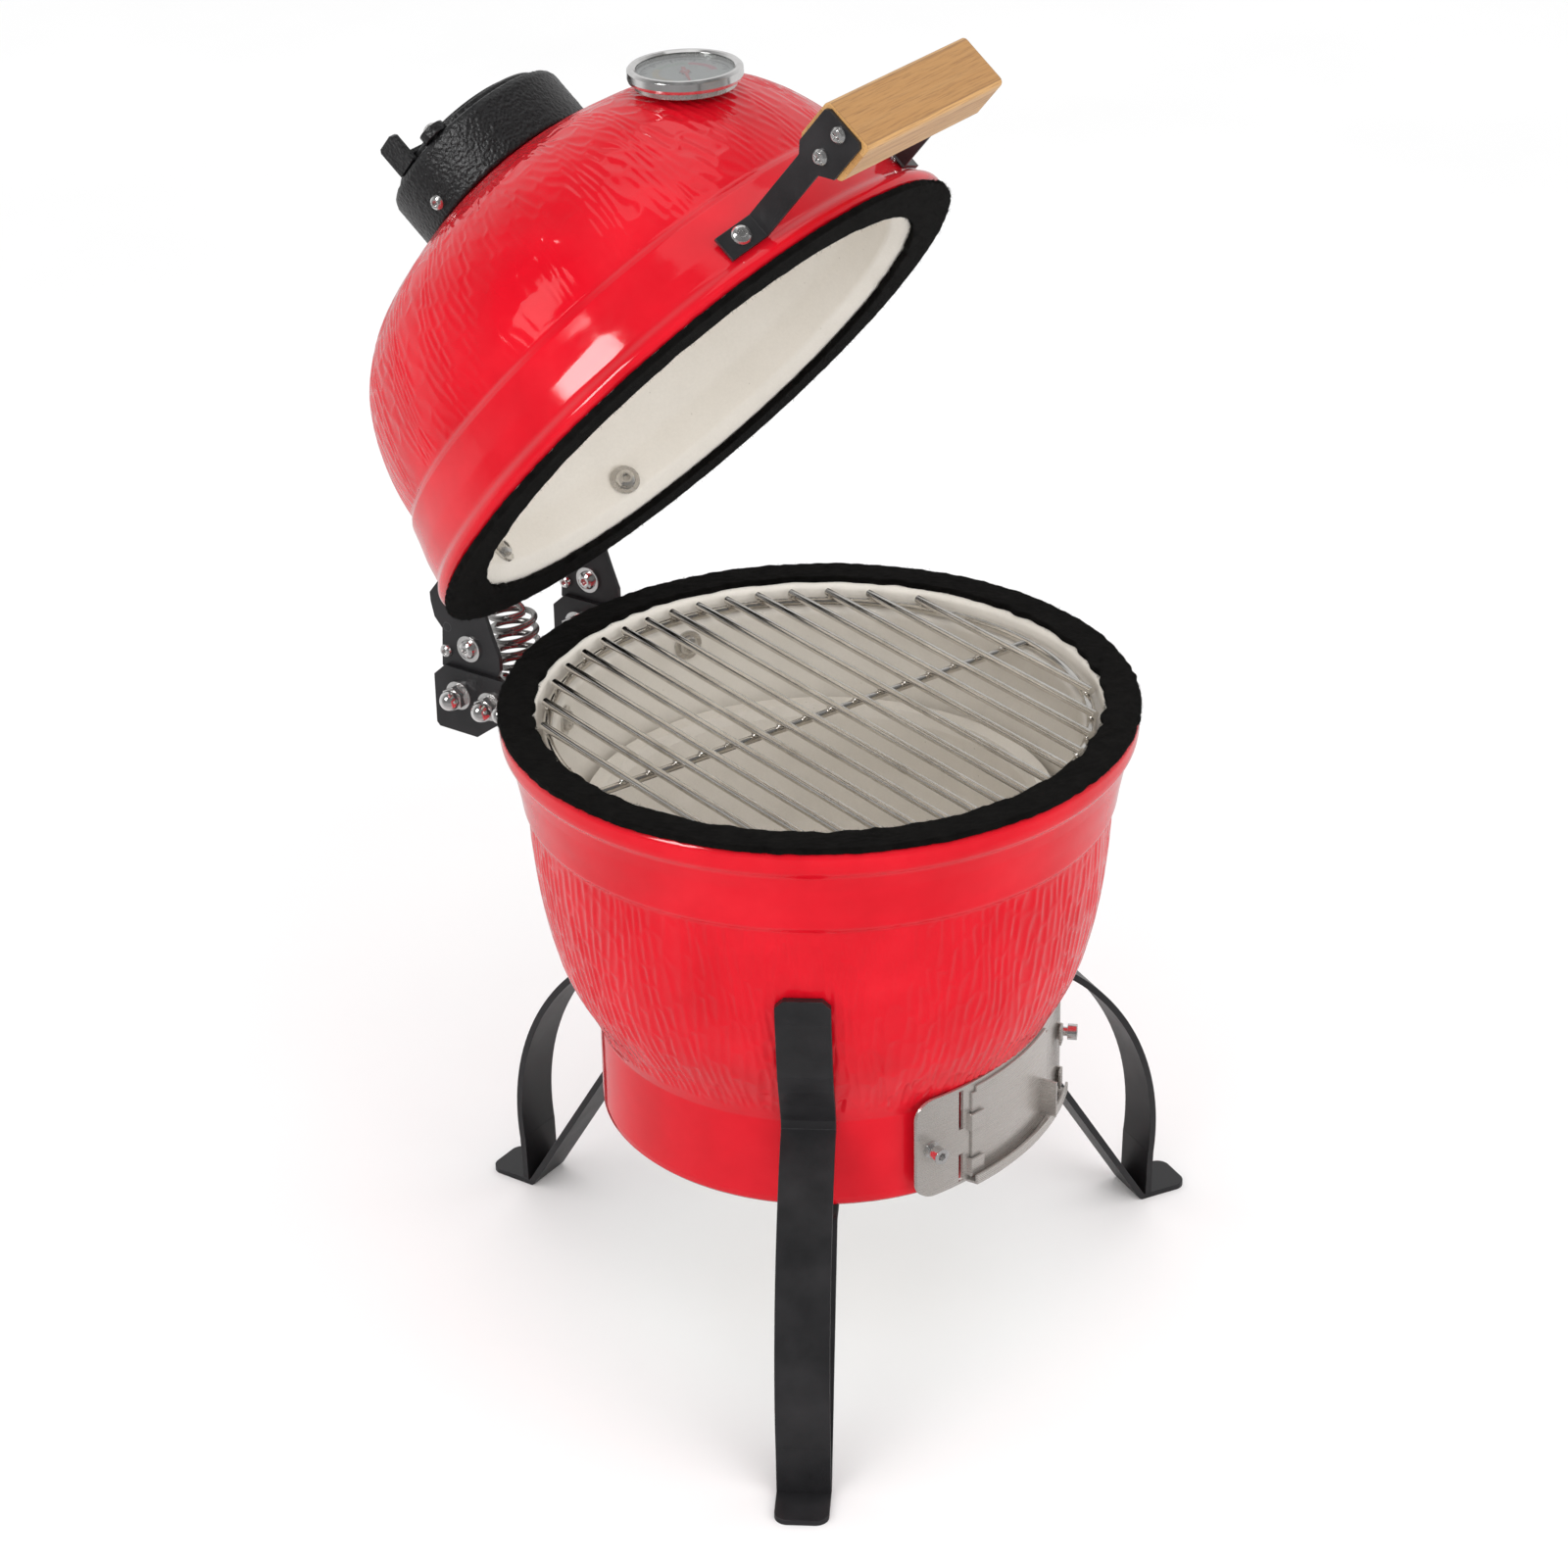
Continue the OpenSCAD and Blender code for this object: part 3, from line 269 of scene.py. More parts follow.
def cast_iron():
    """Black crinkle paint over a casting."""
    g = Graph("black_crinkle_iron")
    crinkle = g.cells(0.0017, feature="SMOOTH_F1")
    grain = g.noise(0.0011, 4, 0.65)
    colour = g.mix(g.span(grain, 0, 1), (0.006, 0.006, 0.0065), (0.018, 0.018, 0.019))
    surface = g.bump(crinkle, 0.0005, 0.9, g.bump(grain, 0.0003, 0.7, g.rounded(0.0008)))
    g.set(Base_Color=colour, Roughness=g.span(grain, 0.24, 0.42), Normal=surface, Metallic=0.1)
    return g.material


def bright_steel(name, colour, rough, metallic):
    """Plated or polished steel with faint turning marks and handling marks."""
    g = Graph(name)
    smear = g.noise(0.006, 4, 0.6)
    scratch = g.noise(0.0008, 3, 0.6, at=g.place((1, 1, 8)))
    tone = g.mix(g.span(smear, 0, 1), tuple(c * 0.86 for c in colour), colour)
    g.set(Base_Color=tone, Metallic=metallic, Roughness=g.span(smear, rough, rough * 1.9))
    g.set(Normal=g.bump(scratch, 0.00003, 0.5, g.rounded(0.0004)))
    return g.material


def brushed_steel():
    """Rolled stainless sheet, brushed across."""
    g = Graph("brushed_stainless")
    lines = g.noise(0.00030, 3, 0.6, at=g.place((0.008, 0.008, 1)))
    cloud = g.noise(0.03, 4, 0.6)
    tone = g.mix(g.span(lines, 0, 1), (0.62, 0.585, 0.555), (0.65, 0.615, 0.585))
    tone = g.mix(g.math("MULTIPLY", g.span(cloud, 0, 1), 0.35), tone, (0.52, 0.475, 0.43))
    g.set(Base_Color=tone, Metallic=0.76, Roughness=g.span(lines, 0.24, 0.32), Anisotropic=0.3)
    g.set(Normal=g.bump(lines, 0.00001, 0.2, g.rounded(0.0005)))
    return g.material


def grate_wire():
    """Nickel-plated wire, straw-coloured and darker in patches from its first heat."""
    g = Graph("plated_wire")
    heat = g.noise(0.03, 4, 0.6)
    draw = g.noise(0.0006, 3, 0.6, at=g.place((1, 0.06, 1), (0, 0, GRATE_TURN)))
    tone = g.ramp(
        heat, (0.35, (0.76, 0.74, 0.71)), (0.62, (0.64, 0.615, 0.58)), (0.80, (0.44, 0.41, 0.37))
    )
    g.set(Base_Color=tone, Metallic=1.0, Roughness=g.span(heat, 0.10, 0.22))
    g.set(Normal=g.bump(draw, 0.00004, 0.6))
    return g.material


def bamboo(stave_width):
    """Laminated bamboo: long pale staves side by side, each with its own tone and fibre."""
    g = Graph("laminated_bamboo")
    parts = g.node("SeparateXYZ")
    turned = g.node("VectorRotate", rotation_type="X_AXIS")
    turned.inputs["Angle"].default_value = open_angle
    g.put(turned.inputs["Vector"], g.place())
    g.put(parts.inputs["Vector"], turned.outputs["Vector"])
    across = g.math("DIVIDE", parts.outputs["Y"], stave_width)
    stave = g.math("FLOOR", across)
    tone_of = g.node("TexWhiteNoise", noise_dimensions="1D")
    g.put(tone_of.inputs["W"], stave)
    joined = g.node("CombineXYZ")
    g.put(joined.inputs["X"], g.math("MULTIPLY", parts.outputs["X"], 0.035))
    g.put(joined.inputs["Y"], g.math("ADD", parts.outputs["Y"], g.math("MULTIPLY", stave, 0.7)))
    g.put(joined.inputs["Z"], parts.outputs["Z"])
    fibre = g.noise(0.0007, 5, 0.7, at=joined.outputs["Vector"])
    broad = g.noise(0.004, 3, 0.6, at=joined.outputs["Vector"])
    base = g.ramp(
        tone_of.outputs["Value"],
        (0.0, (0.41, 0.190, 0.050)), (0.5, (0.50, 0.255, 0.076)), (1.0, (0.58, 0.32, 0.112)),
    )
    colour = g.mix(g.ramp(fibre, (0.48, 0.0), (0.70, 0.8)), base, (0.24, 0.105, 0.030))
    colour = g.mix(g.ramp(broad, (0.45, 0.0), (0.75, 0.35)), colour, (0.61, 0.36, 0.14))
    seam = g.math("ABSOLUTE", g.math("SUBTRACT", g.math("FRACT", across), 0.5))
    colour = g.mix(g.ramp(seam, (0.470, 0.0), (0.495, 0.7)), colour, (0.22, 0.11, 0.045))
    g.set(Base_Color=colour, Roughness=g.span(fibre, 0.36, 0.52))
    g.set(Normal=g.bump(fibre, 0.00012, 0.6, g.rounded(0.0008)))
    g.set(Coat_Weight=0.25, Coat_Roughness=0.25)
    return g.material


def painted(name, colour, rough=0.4):
    """Smooth paint or enamel, a little cloudy."""
    g = Graph(name)
    cloud = g.noise(0.004, 3, 0.6)
    tone = g.mix(g.span(cloud, 0, 1), tuple(c * 0.9 for c in colour), colour)
    g.set(Base_Color=tone, Roughness=g.span(cloud, rough, rough + 0.08))
    return g.material


def clear_lens():
    """A thin flat window: clear, with a smeared reflection over it."""
    g = Graph("clear_lens")
    smear = g.noise(0.008, 3, 0.6)
    clear, shine, both = g.node("BsdfTransparent"), g.node("BsdfGlossy"), g.node("MixShader")
    clear.inputs["Color"].default_value = (0.90, 0.92, 0.92, 1)
    g.put(shine.inputs["Roughness"], g.span(smear, 0.04, 0.12))
    view = g.node("LayerWeight")
    view.inputs["Blend"].default_value = 0.15
    g.put(both.inputs[0], view.outputs["Facing"])
    g.tree.links.new(clear.outputs[0], both.inputs[1])
    g.tree.links.new(shine.outputs[0], both.inputs[2])
    g.tree.links.new(both.outputs[0], g.tree.nodes["Material Output"].inputs["Surface"])
    return g.material


GRATE_TURN = -18.3      # degrees; the way the grate's bars run

RED = glaze()
CLAY = bisque("pale_clay", (0.89, 0.845, 0.78), (0.83, 0.785, 0.715))
FIRE_CLAY = bisque("fire_clay", (0.91, 0.86, 0.79), (0.84, 0.79, 0.715), 0.6)
FELT = felt()
COAT = powder_coat()
IRON = cast_iron()
CHROME = bright_steel("bright_steel", (0.88, 0.87, 0.86), 0.10, 0.96)
ZINC = bright_steel("plated_steel", (0.72, 0.70, 0.67), 0.18, 0.90)
SPRING_STEEL = bright_steel("spring_steel", (0.36, 0.35, 0.34), 0.16, 0.95)
SHEET = brushed_steel()
WIRE = grate_wire()
BAMBOO = bamboo(stave_width=0.0065)
DIAL = painted("dial_enamel", (0.36, 0.35, 0.345), 0.35)
NEEDLE = painted("needle_red", (0.50, 0.03, 0.04))
INK = painted("dial_ink", (0.03, 0.03, 0.03), 0.5)
LENS = clear_lens()

NODE_MATERIALS = {
    COAT: (
        "stand_ring leg_front_left leg_front_right leg_rear strut_front_left strut_front_right "
        "strut_rear hinge_base_bracket hinge_side_arms hinge_lid_plates handle_bracket_left "
        "handle_bracket_right spring_pin"
    ),
    CHROME: (
        "hinge_clamp_bolts hinge_cap_nuts hinge_pivot_bolts base_anchor_nuts lid_anchor_nuts "
        "hinge_stop_rivets handle_screws handle_bolts vent_frame_bolts collar_screws "
        "collar_pivot_screw damper_screw thermometer_bezel thermometer_stem thermometer_nut "
        "hinge_spring"
    ),
    ZINC: (
        "hinge_clamp_spacers hinge_pivot_nuts base_anchor_bolts lid_anchor_bolts handle_nuts "
        "thermometer_case"
    ),
    SHEET: "vent_frame vent_door",
    WIRE: "grate_ring grate_bars grate_crossbar",
    IRON: "charcoal_grate chimney_collar chimney_cover damper_wheel",
    FIRE_CLAY: "fire_bowl",
    BAMBOO: "handle_grip",
    DIAL: "thermometer_dial",
    NEEDLE: "thermometer_pointer",
    LENS: "thermometer_lens",
    RED: "base_shell lid_shell",
    FELT: "base_gasket lid_gasket",
}
for material, names in NODE_MATERIALS.items():
    for name in names.split():
        mesh = nodes[name].data
        mesh.materials.clear()
        mesh.materials.append(material)


# ------------ mesh helpers
def add_piece(name, mesh, body, materials, smooth=True):
    piece = bpy.data.objects.new(name, mesh)
    scene.collection.objects.link(piece)
    for material in materials:
        mesh.materials.append(material)
    if smooth:
        mesh.shade_smooth()
    if body:
        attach(piece, body)
    return piece


def new_mesh(name, points, faces):
    mesh = bpy.data.meshes.new(name)
    mesh.from_pydata(points, [], faces)
    return mesh


def fix_normals(mesh):
    work = bmesh.new()
    work.from_mesh(mesh)
    bmesh.ops.recalc_face_normals(work, faces=work.faces)
    work.to_mesh(mesh)
    work.free()


def join(faces, low, high):
    """Quads between two rings of as many points."""
    for i in range(len(low)):
        j = (i + 1) % len(low)
        faces.append([low[i], low[j], high[j], high[i]])


def ripples(seed, count, waves_round, waves_along):
    """Smooth seeded noise of angle and height, in about -1 to 1; it closes on itself around."""
    rng = np.random.default_rng(seed)
    terms = []
    for _ in range(count):
        turns, along = rng.integers(1, waves_round + 1), rng.uniform(-waves_along, waves_along)
        terms.append((turns, along, rng.uniform(0, math.tau)))

    def value(angle, along):
        total = sum(np.sin(n * angle + m * along + p) for n, m, p in terms)
        return total / math.sqrt(count)

    return value


def smoothed(values, half):
    """Moving average with a soft window of half values to each side; the ends are kept."""
    window = np.hanning(2 * half + 3)[1:-1]
    before = 2 * values[0] - values[1 : half + 1][::-1]
    after = 2 * values[-1] - values[-half - 1 : -1][::-1]
    padded = np.concatenate([before, values, after])
    return np.convolve(padded, window / window.sum(), "valid")


def carved(angle, along, radius, pitch, length, seed, slant=0.0, wander=1.0):
    """Depth, 0 to 1, of shallow upright gouges pressed side by side into the clay.

    pitch is a gouge's width at that radius; slant and wander are how far columns lean and sway.
    """
    rng = np.random.default_rng(seed)
    columns = int(round(math.tau * radius / pitch))
    sway = ripples(seed + 1, 9, 30, 70)
    bend = ripples(seed + 2, 9, 70, 240)
    across = angle / math.tau * columns + 0.40 * wander * sway(angle, along)
    across = across + slant * along / pitch + 0.11 * wander * bend(angle, along)
    column = np.floor(across).astype(int) % columns
    shift = rng.uniform(0, 1, columns)[column]
    stretch = rng.uniform(0.75, 1.3, columns)[column]
    rows = along / (length * stretch) + shift + 0.18 * bend(angle + 1.0, along)
    row = np.floor(rows).astype(int)
    table = rng.uniform(0.35, 1.0, (columns, 64))
    depth = table[column, row % 64]
    gap_across = np.sin(math.pi * (across - np.floor(across)))
    gap_along = np.sin(math.pi * (rows - row))
    ends = np.clip(gap_along * 1.15, 0, 1)
    return depth * gap_across**1.2 * ends * (2 - ends)


def stitch(faces, fine, coarse, ratio):
    """Joins a ring of many points to a ring of fewer, ratio to one."""
    count = len(coarse)
    for i in range(count):
        outer = [fine[(i * ratio + k) % len(fine)] for k in range(ratio + 1)]
        faces.append([coarse[(i + 1) % count], coarse[i], *outer])


# ------------ ceramic shells
FINE = 1152             # points round the glazed outside
RATIO = 4               # of these to each point round the inside
COARSE = FINE // RATIO


def shell_tree(node, level=None):
    """Search tree of a CAD shell, with the lid's turned level first."""
    source = nodes[node].data
    points = [(level @ v.co) if level else v.co for v in source.vertices]
    return BVHTree.FromPolygons(points, [f.vertices[:] for f in source.polygons])


def cast(tree, centre, elevation, outside):
    """(radius, height) where a ray through a point on the axis meets the shell, on its +X side."""
    way = Vector((math.cos(elevation), 0, math.sin(elevation)))
    start = Vector((0, 0, centre))
    hit = tree.ray_cast(start + way * 0.5, -way)[0] if outside else tree.ray_cast(start, way)[0]
    return math.hypot(hit.x, hit.y), hit.z


def ring(points, radii, heights, count):
    angles = np.arange(count) * math.tau / count
    first = len(points)
    rows = np.stack([radii * np.cos(angles), radii * np.sin(angles), heights + 0 * angles], 1)
    points.extend(rows.tolist())
    return list(range(first, first + count))


def ceramic(name, outside, inside, relief, cut=None, capped=False, hole=None):
    """Mesh of a pot from two rows of (radius, height): its glazed outside and its bare inside.

    relief(angles, along, radius, height) is how deep the glaze is pressed in, square to the wall.
    cut(angles, radii, height) trims a row. hole is (first, last, low, high): the columns and the
    heights of a port through the wall. A capped pot has a floor; the other kind is a ring.
    """
    points, faces = [], []
    angles = np.arange(FINE) * math.tau / FINE
    profile = np.array(outside)
    along = np.concatenate([[0], np.cumsum(np.hypot(*np.diff(profile, axis=0).T))])
    slope = np.gradient(profile, along, axis=0)
    outer = []
    for (r, z), (dr, dz), travel in zip(outside, slope, along):
        depth = relief(angles, travel, r, z)
        radii = r - depth * dz / math.hypot(dr, dz)
        if cut:
            radii = cut(angles, radii, z)
        outer.append(ring(points, radii, z + depth * dr / math.hypot(dr, dz), FINE))
    sway = ripples(71, 14, 12, 60)
    coarse_angles = angles[::RATIO]
    inner = [ring(points, r + 0.0002 * sway(coarse_angles, z), z, COARSE) for r, z in inside]

    def open_at(column, z0, z1):
        return bool(hole) and hole[0] <= column < hole[1] and hole[2] < (z0 + z1) / 2 < hole[3]

    def wall(rings, rows, count):
        for low, high, (_, z0), (_, z1) in zip(rings, rings[1:], rows, rows[1:]):
            for i in range(count):
                if not open_at(i * COARSE // count, z0, z1):
                    j = (i + 1) % count
                    faces.append([low[i], low[j], high[j], high[i]])

    wall(outer, outside, FINE)
    glazed = len(faces)
    stitch(faces, outer[-1], inner[0], RATIO)
    wall(inner, inside, COARSE)
    if capped:
        faces.append(outer[0])
        faces.append(inner[-1])
    else:
        stitch(faces, outer[0], inner[-1], RATIO)
    if hole:
        first, last, low, high = hole
        sill = [k for k, (_, z) in enumerate(outside) if low - 1e-6 < z < high + 1e-6]
        back = [k for k, (_, z) in enumerate(inside) if low - 1e-6 < z < high + 1e-6][::-1]
        for column in (first, last):
            for (a, b), (c, d) in zip(zip(sill, sill[1:]), zip(back, back[1:])):
                fine = column * RATIO
                faces.append([outer[a][fine], outer[b][fine], inner[d][column], inner[c][column]])
        for a, c in ((sill[0], back[0]), (sill[-1], back[-1])):
            for column in range(first, last):
                front = [outer[a][column * RATIO + k] for k in range(RATIO + 1)]
                faces.append([inner[c][column + 1], inner[c][column], *front])
    mesh = new_mesh(name, points, faces)
    mesh.polygons.foreach_set("material_index", [0] * glazed + [1] * (len(faces) - glazed))
    fix_normals(mesh)
    return mesh


def fade(value, low, high):
    """Smooth step from 0 at low to 1 at high."""
    t = np.clip((value - low) / (high - low), 0, 1)
    return t * t * (3 - 2 * t)


GOUGE_WIDTH = 0.0056
EDGE_INSET = 0.0001     # how far the first and last rows stop short of a shell's ends

# Base: foot, pressed bowl, then smooth bands up to the rim.
PRESS_LOW, PRESS_HIGH = 0.181, 0.305
PRESS_DEPTH = 0.0008
PRESS_STEP, BAND_STEP, FOOT_STEP = 0.00115, 0.0007, 0.004       # height of a row in each zone
PORT_LOW, PORT_HIGH = 0.144, 0.172
PORT_HALF = math.asin(0.038 / 0.119)    # half the port's width over the radius of the foot
PORT_ROWS = 8
BASE_FLOOR = 0.14
BASE_LEDGES = [0.35, 0.3465, 0.3437, 0.3434, 0.3400]    # rows either side of the grate's ledge
BOWL_LEDGES = [0.1802, 0.1798, 0.176]                   # and of the fire bowl's
VENT_SEAT_TOP, VENT_SEAT_HALF = 0.185, math.radians(33)
VENT_BEND = 0.165 - 0.0003              # radius of the vent frame's bend, less a hair of air
vent_centre = Vector(joints["vent_door_slide"]["pos_m"])
vent_azimuth = math.atan2(vent_centre.y, vent_centre.x) - math.pi

base_tree = shell_tree("base_shell")
base_low, base_high = (corner.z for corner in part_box("base_shell"))
base_heights = np.concatenate([
    [base_low + 0.0004, base_low + 0.0012, base_low + 0.0022],
    np.arange(base_low + 0.0032, PORT_LOW - 0.001, FOOT_STEP),
    np.linspace(PORT_LOW, PORT_HIGH, PORT_ROWS),
    np.arange(PORT_HIGH + 0.0012, PRESS_LOW, BAND_STEP),
    np.arange(PRESS_LOW, PRESS_HIGH, PRESS_STEP),
    np.arange(PRESS_HIGH, base_high - EDGE_INSET, BAND_STEP),
    [base_high - EDGE_INSET],
])
base_radii = np.array([cast(base_tree, z, 0, True)[0] for z in base_heights])
# The corners of the CAD outline are softened, but not where one zone meets the next.
pressed = (base_heights > PRESS_LOW) & (base_heights < PRESS_HIGH - 0.003)
base_radii[pressed] = smoothed(base_radii[pressed], 9)
bands = base_heights >= PRESS_HIGH
base_radii[bands] = smoothed(base_radii[bands], 2)
base_inside = [cast(base_tree, z, 0, False) for z in np.concatenate([
    [base_high - EDGE_INSET],
    BASE_LEDGES,
    np.arange(0.336, 0.1805, -0.0045),
    BOWL_LEDGES,
    np.linspace(PORT_HIGH, PORT_LOW, PORT_ROWS),
    [BASE_FLOOR + 0.0015],
])] + [(0.092, BASE_FLOOR), (0.03, BASE_FLOOR)]


def base_relief(angles, along, radius, height):
    """How deep the bowl of the base is pressed in, with uneven ends to the pattern."""
    jitter = 0.0012 * ripples(5, 12, 90, 1)(angles, 0.0)
    zone = fade(height, PRESS_LOW - 0.001 + jitter, PRESS_LOW + 0.004 + jitter)
    zone = zone * (1 - fade(height, PRESS_HIGH - 0.004 + jitter, PRESS_HIGH - 0.0002 + jitter))
    return PRESS_DEPTH * zone * carved(angles, along, 0.146, GOUGE_WIDTH, 0.020, 11)


def seat_for_vent(angles, radii, height):
    """Flat seat in the bowl behind the upper edge of the vent frame."""
    if not PORT_HIGH + 0.003 < height < VENT_SEAT_TOP:
        return radii
    toward = vent_centre.x * np.cos(angles) + vent_centre.y * np.sin(angles)
    bend = toward + np.sqrt(toward**2 - vent_centre.xy.length_squared + VENT_BEND**2)
    ahead = np.cos(angles - vent_azimuth) > math.cos(VENT_SEAT_HALF)
    return np.where(ahead, np.minimum(radii, bend), radii)


def column_at(angle):
    """The inside column of points nearest to an angle."""
    return int(round((angle % math.tau) / math.tau * COARSE))


base_outside = list(zip(base_radii, base_heights))
port_first, port_last = column_at(vent_azimuth - PORT_HALF), column_at(vent_azimuth + PORT_HALF)
base_mesh = ceramic(
    "base_ceramic", base_outside, base_inside, base_relief, cut=seat_for_vent, capped=True,
    hole=(port_first, port_last, PORT_LOW, PORT_HIGH),
)
base_ceramic = add_piece("base_ceramic", base_mesh, "base", [RED, CLAY])
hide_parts("base_shell")

# Lid: smooth bands by the rim, then the pressed dome up to the chimney neck. Its rows are cast
# from a centre on the axis, so they are written as elevations seen from there, in degrees.
LID_CENTRE = 0.040
LID_RIM, LID_BANDS_END, LID_DOME_END, LID_NECK = -12.45, 2, 66, 70.4
LID_INNER_NECK, LID_INNER_RIM = 73.4, -14.3
LID_PRESS_LOW, LID_PRESS_TOP_R = 0.0485, 0.056
LID_PRESS_DEPTH = 0.0007
LID_FAINT = math.radians(-150)      # where the pattern is pressed most lightly, low on the left
LID_WANDER = 1.7
# The gouges of each belt of the dome, from the rim up: radius, length, seed and slant
LID_BELTS = ((0.138, 0.0165, 21, 0.10), (0.098, 0.0155, 22, 0.14), (0.068, 0.0135, 23, 0.18))

lid_tree = shell_tree("lid_shell", lid_rest.inverted())
lid_angles = np.radians(np.concatenate([
    np.arange(LID_RIM, LID_BANDS_END, 0.26),
    np.arange(LID_BANDS_END, LID_DOME_END, 0.40),
    np.arange(LID_DOME_END, LID_NECK, 0.7),
    [LID_NECK],
]))
lid_profile = np.array([cast(lid_tree, LID_CENTRE, a, True) for a in lid_angles])
reach = np.hypot(lid_profile[:, 0], lid_profile[:, 1] - LID_CENTRE)
dome = (lid_profile[:, 1] > LID_PRESS_LOW + 0.0015) & (lid_profile[:, 0] > 0.0575)
reach[dome] = smoothed(reach[dome], 12)
lid_bands = lid_profile[:, 1] <= LID_PRESS_LOW
reach[lid_bands] = smoothed(reach[lid_bands], 3)
lid_outside = [(d * math.cos(a), LID_CENTRE + d * math.sin(a)) for d, a in zip(reach, lid_angles)]
lid_inside = [cast(lid_tree, LID_CENTRE, a, False) for a in np.radians(np.concatenate([
    [LID_INNER_NECK],
    np.arange(72.5, LID_DOME_END, -1.2),
    np.arange(LID_DOME_END, -9, -1.0),
    np.arange(-9, LID_INNER_RIM, -0.6),
    [LID_INNER_RIM],
]))]


def lid_relief(angles, along, radius, height):
    """How deep the dome is pressed in: least low on the left, and not at all by the neck."""
    jitter = 0.0016 * ripples(6, 12, 80, 1)(angles, 0.0)
    zone = fade(height, LID_PRESS_LOW - 0.0005 + jitter, LID_PRESS_LOW + 0.004 + jitter)
    faint = np.exp(-((np.remainder(angles - LID_FAINT + math.pi, math.tau) - math.pi) / 0.42) ** 2)
    full = fade(height, LID_PRESS_LOW + 0.010, LID_PRESS_LOW + 0.050)
    zone = zone * (1 - (0.35 + 0.45 * faint) * (1 - full))
    zone = zone * fade(radius, LID_PRESS_TOP_R - 0.003, LID_PRESS_TOP_R + 0.004)
    low = fade(radius, 0.108, 0.122)
    high = 1 - fade(radius, 0.076, 0.088)
    shares = (low, (1 - low) * (1 - high), high)
    depth = sum(
        share * carved(angles, along, belt_r, GOUGE_WIDTH, length, seed, slant, LID_WANDER)
        for share, (belt_r, length, seed, slant) in zip(shares, LID_BELTS)
    )
    return LID_PRESS_DEPTH * zone * depth


lid_mesh = ceramic("lid_ceramic", lid_outside, lid_inside, lid_relief)
lid_mesh.transform(lid_rest)
needle = joints["thermometer_needle_turn"]
stem_foot, stem_axis = Vector(needle["pos_m"]), Vector(needle["axis"]).normalized()
CASE_SHANK_R, CASE_SEAT_R = 0.022, 0.0278
NUT_BORE_R, NUT_SEAT_R = 0.009, 0.0136
NUT_REACH = 0.012       # how far beyond the nut's face the inner wall may lie


def along_stem(node, pick, beyond):
    """The lowest or highest point, along the stem, of the part of a node beyond a radius."""
    offsets = [nodes[node].matrix_world @ v.co - stem_foot for v in nodes[node].data.vertices]
    heights = [(offset.dot(stem_axis), offset) for offset in offsets]
    return pick(h for h, offset in heights if (offset - stem_axis * h).length > beyond)


# Flat seats are cut across the curve of the dome under the thermometer case and its nut.
case_foot = along_stem("thermometer_case", min, CASE_SHANK_R)
nut_face = along_stem("thermometer_nut", max, NUT_BORE_R)
for vertex in lid_mesh.vertices:
    offset = vertex.co - stem_foot
    height = offset.dot(stem_axis)
    beside = (offset - stem_axis * height).length
    if beside < CASE_SEAT_R and height > case_foot:
        vertex.co -= stem_axis * (height - case_foot)
    elif beside < NUT_SEAT_R and nut_face - NUT_REACH < height < nut_face:
        vertex.co += stem_axis * (nut_face - height)
lid_ceramic = add_piece("lid_ceramic", lid_mesh, "lid", [RED, CLAY])
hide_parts("lid_shell")


# ------------ felt gaskets
FELT_POINTS = 900       # points round a strip
FELT_CORNER, FELT_STEP = 0.0009, 0.0013     # corner radius and point spacing of its section


def felt_section(inner, outer, low, high, corner):
    """Outline of a felt strip, with rounded corners."""
    outline = []
    for cx, cz, start in (
        (outer - corner, low + corner, -90), (outer - corner, high - corner, 0),
        (inner + corner, high - corner, 90), (inner + corner, low + corner, 180),
    ):
        turns = [math.radians(start + a) for a in (0, 30, 60, 90)]
        outline += [(cx + corner * math.cos(a), cz + corner * math.sin(a)) for a in turns]
    full = []
    for (r0, z0), (r1, z1) in zip(outline, outline[1:] + outline[:1]):
        steps = max(1, int(math.hypot(r1 - r0, z1 - z0) / FELT_STEP))
        full += [(r0 + (r1 - r0) * k / steps, z0 + (z1 - z0) * k / steps) for k in range(steps)]
    return full


def felt_ring(name, inner, outer, low, high, seed):
    """A strip of felt laid round the rim: lumpy, a little wavy, and cut unevenly at its edges."""
    count = FELT_POINTS
    section = felt_section(inner, outer, low, high, FELT_CORNER)
    rng = np.random.default_rng(seed)
    angles = np.arange(count) * math.tau / count
    lumps = ripples(seed + 1, 24, 160, 900)
    edge_in = 0.0007 * ripples(seed + 2, 24, 70, 1)(angles, 0)
    edge_out = 0.0004 * ripples(seed + 3, 24, 110, 1)(angles, 0)
    points, faces, rings = [], [], []
    for r, z in section:
        share = (r - inner) / (outer - inner)
        rough = rng.uniform(-0.00013, 0.00013, count)
        lift = 0.00016 * lumps(angles, r * 40 + z * 90) + rng.uniform(-0.00010, 0.00010, count)
        rise = lift if z > (low + high) / 2 else np.abs(lift)
        height = z + rise * (0.4 if z < low + 1e-5 else 1)
        radii = r + edge_in * (1 - share) + edge_out * share + rough
        rings.append(ring(points, radii, height, count))
    for a, b in zip(rings, rings[1:] + rings[:1]):
        join(faces, a, b)
    mesh = new_mesh(name, points, faces)
    fix_normals(mesh)
    return mesh


FIBRES = 15000          # on each strip
HAIR_R = 0.00005
ON_OUTER_EDGE, ON_AN_EDGE = 0.32, 0.66      # share of the fibres on the outer edge, and on either
TOUCH = 0.00035         # fibres start this far below a strip's top, so that the lid can shut


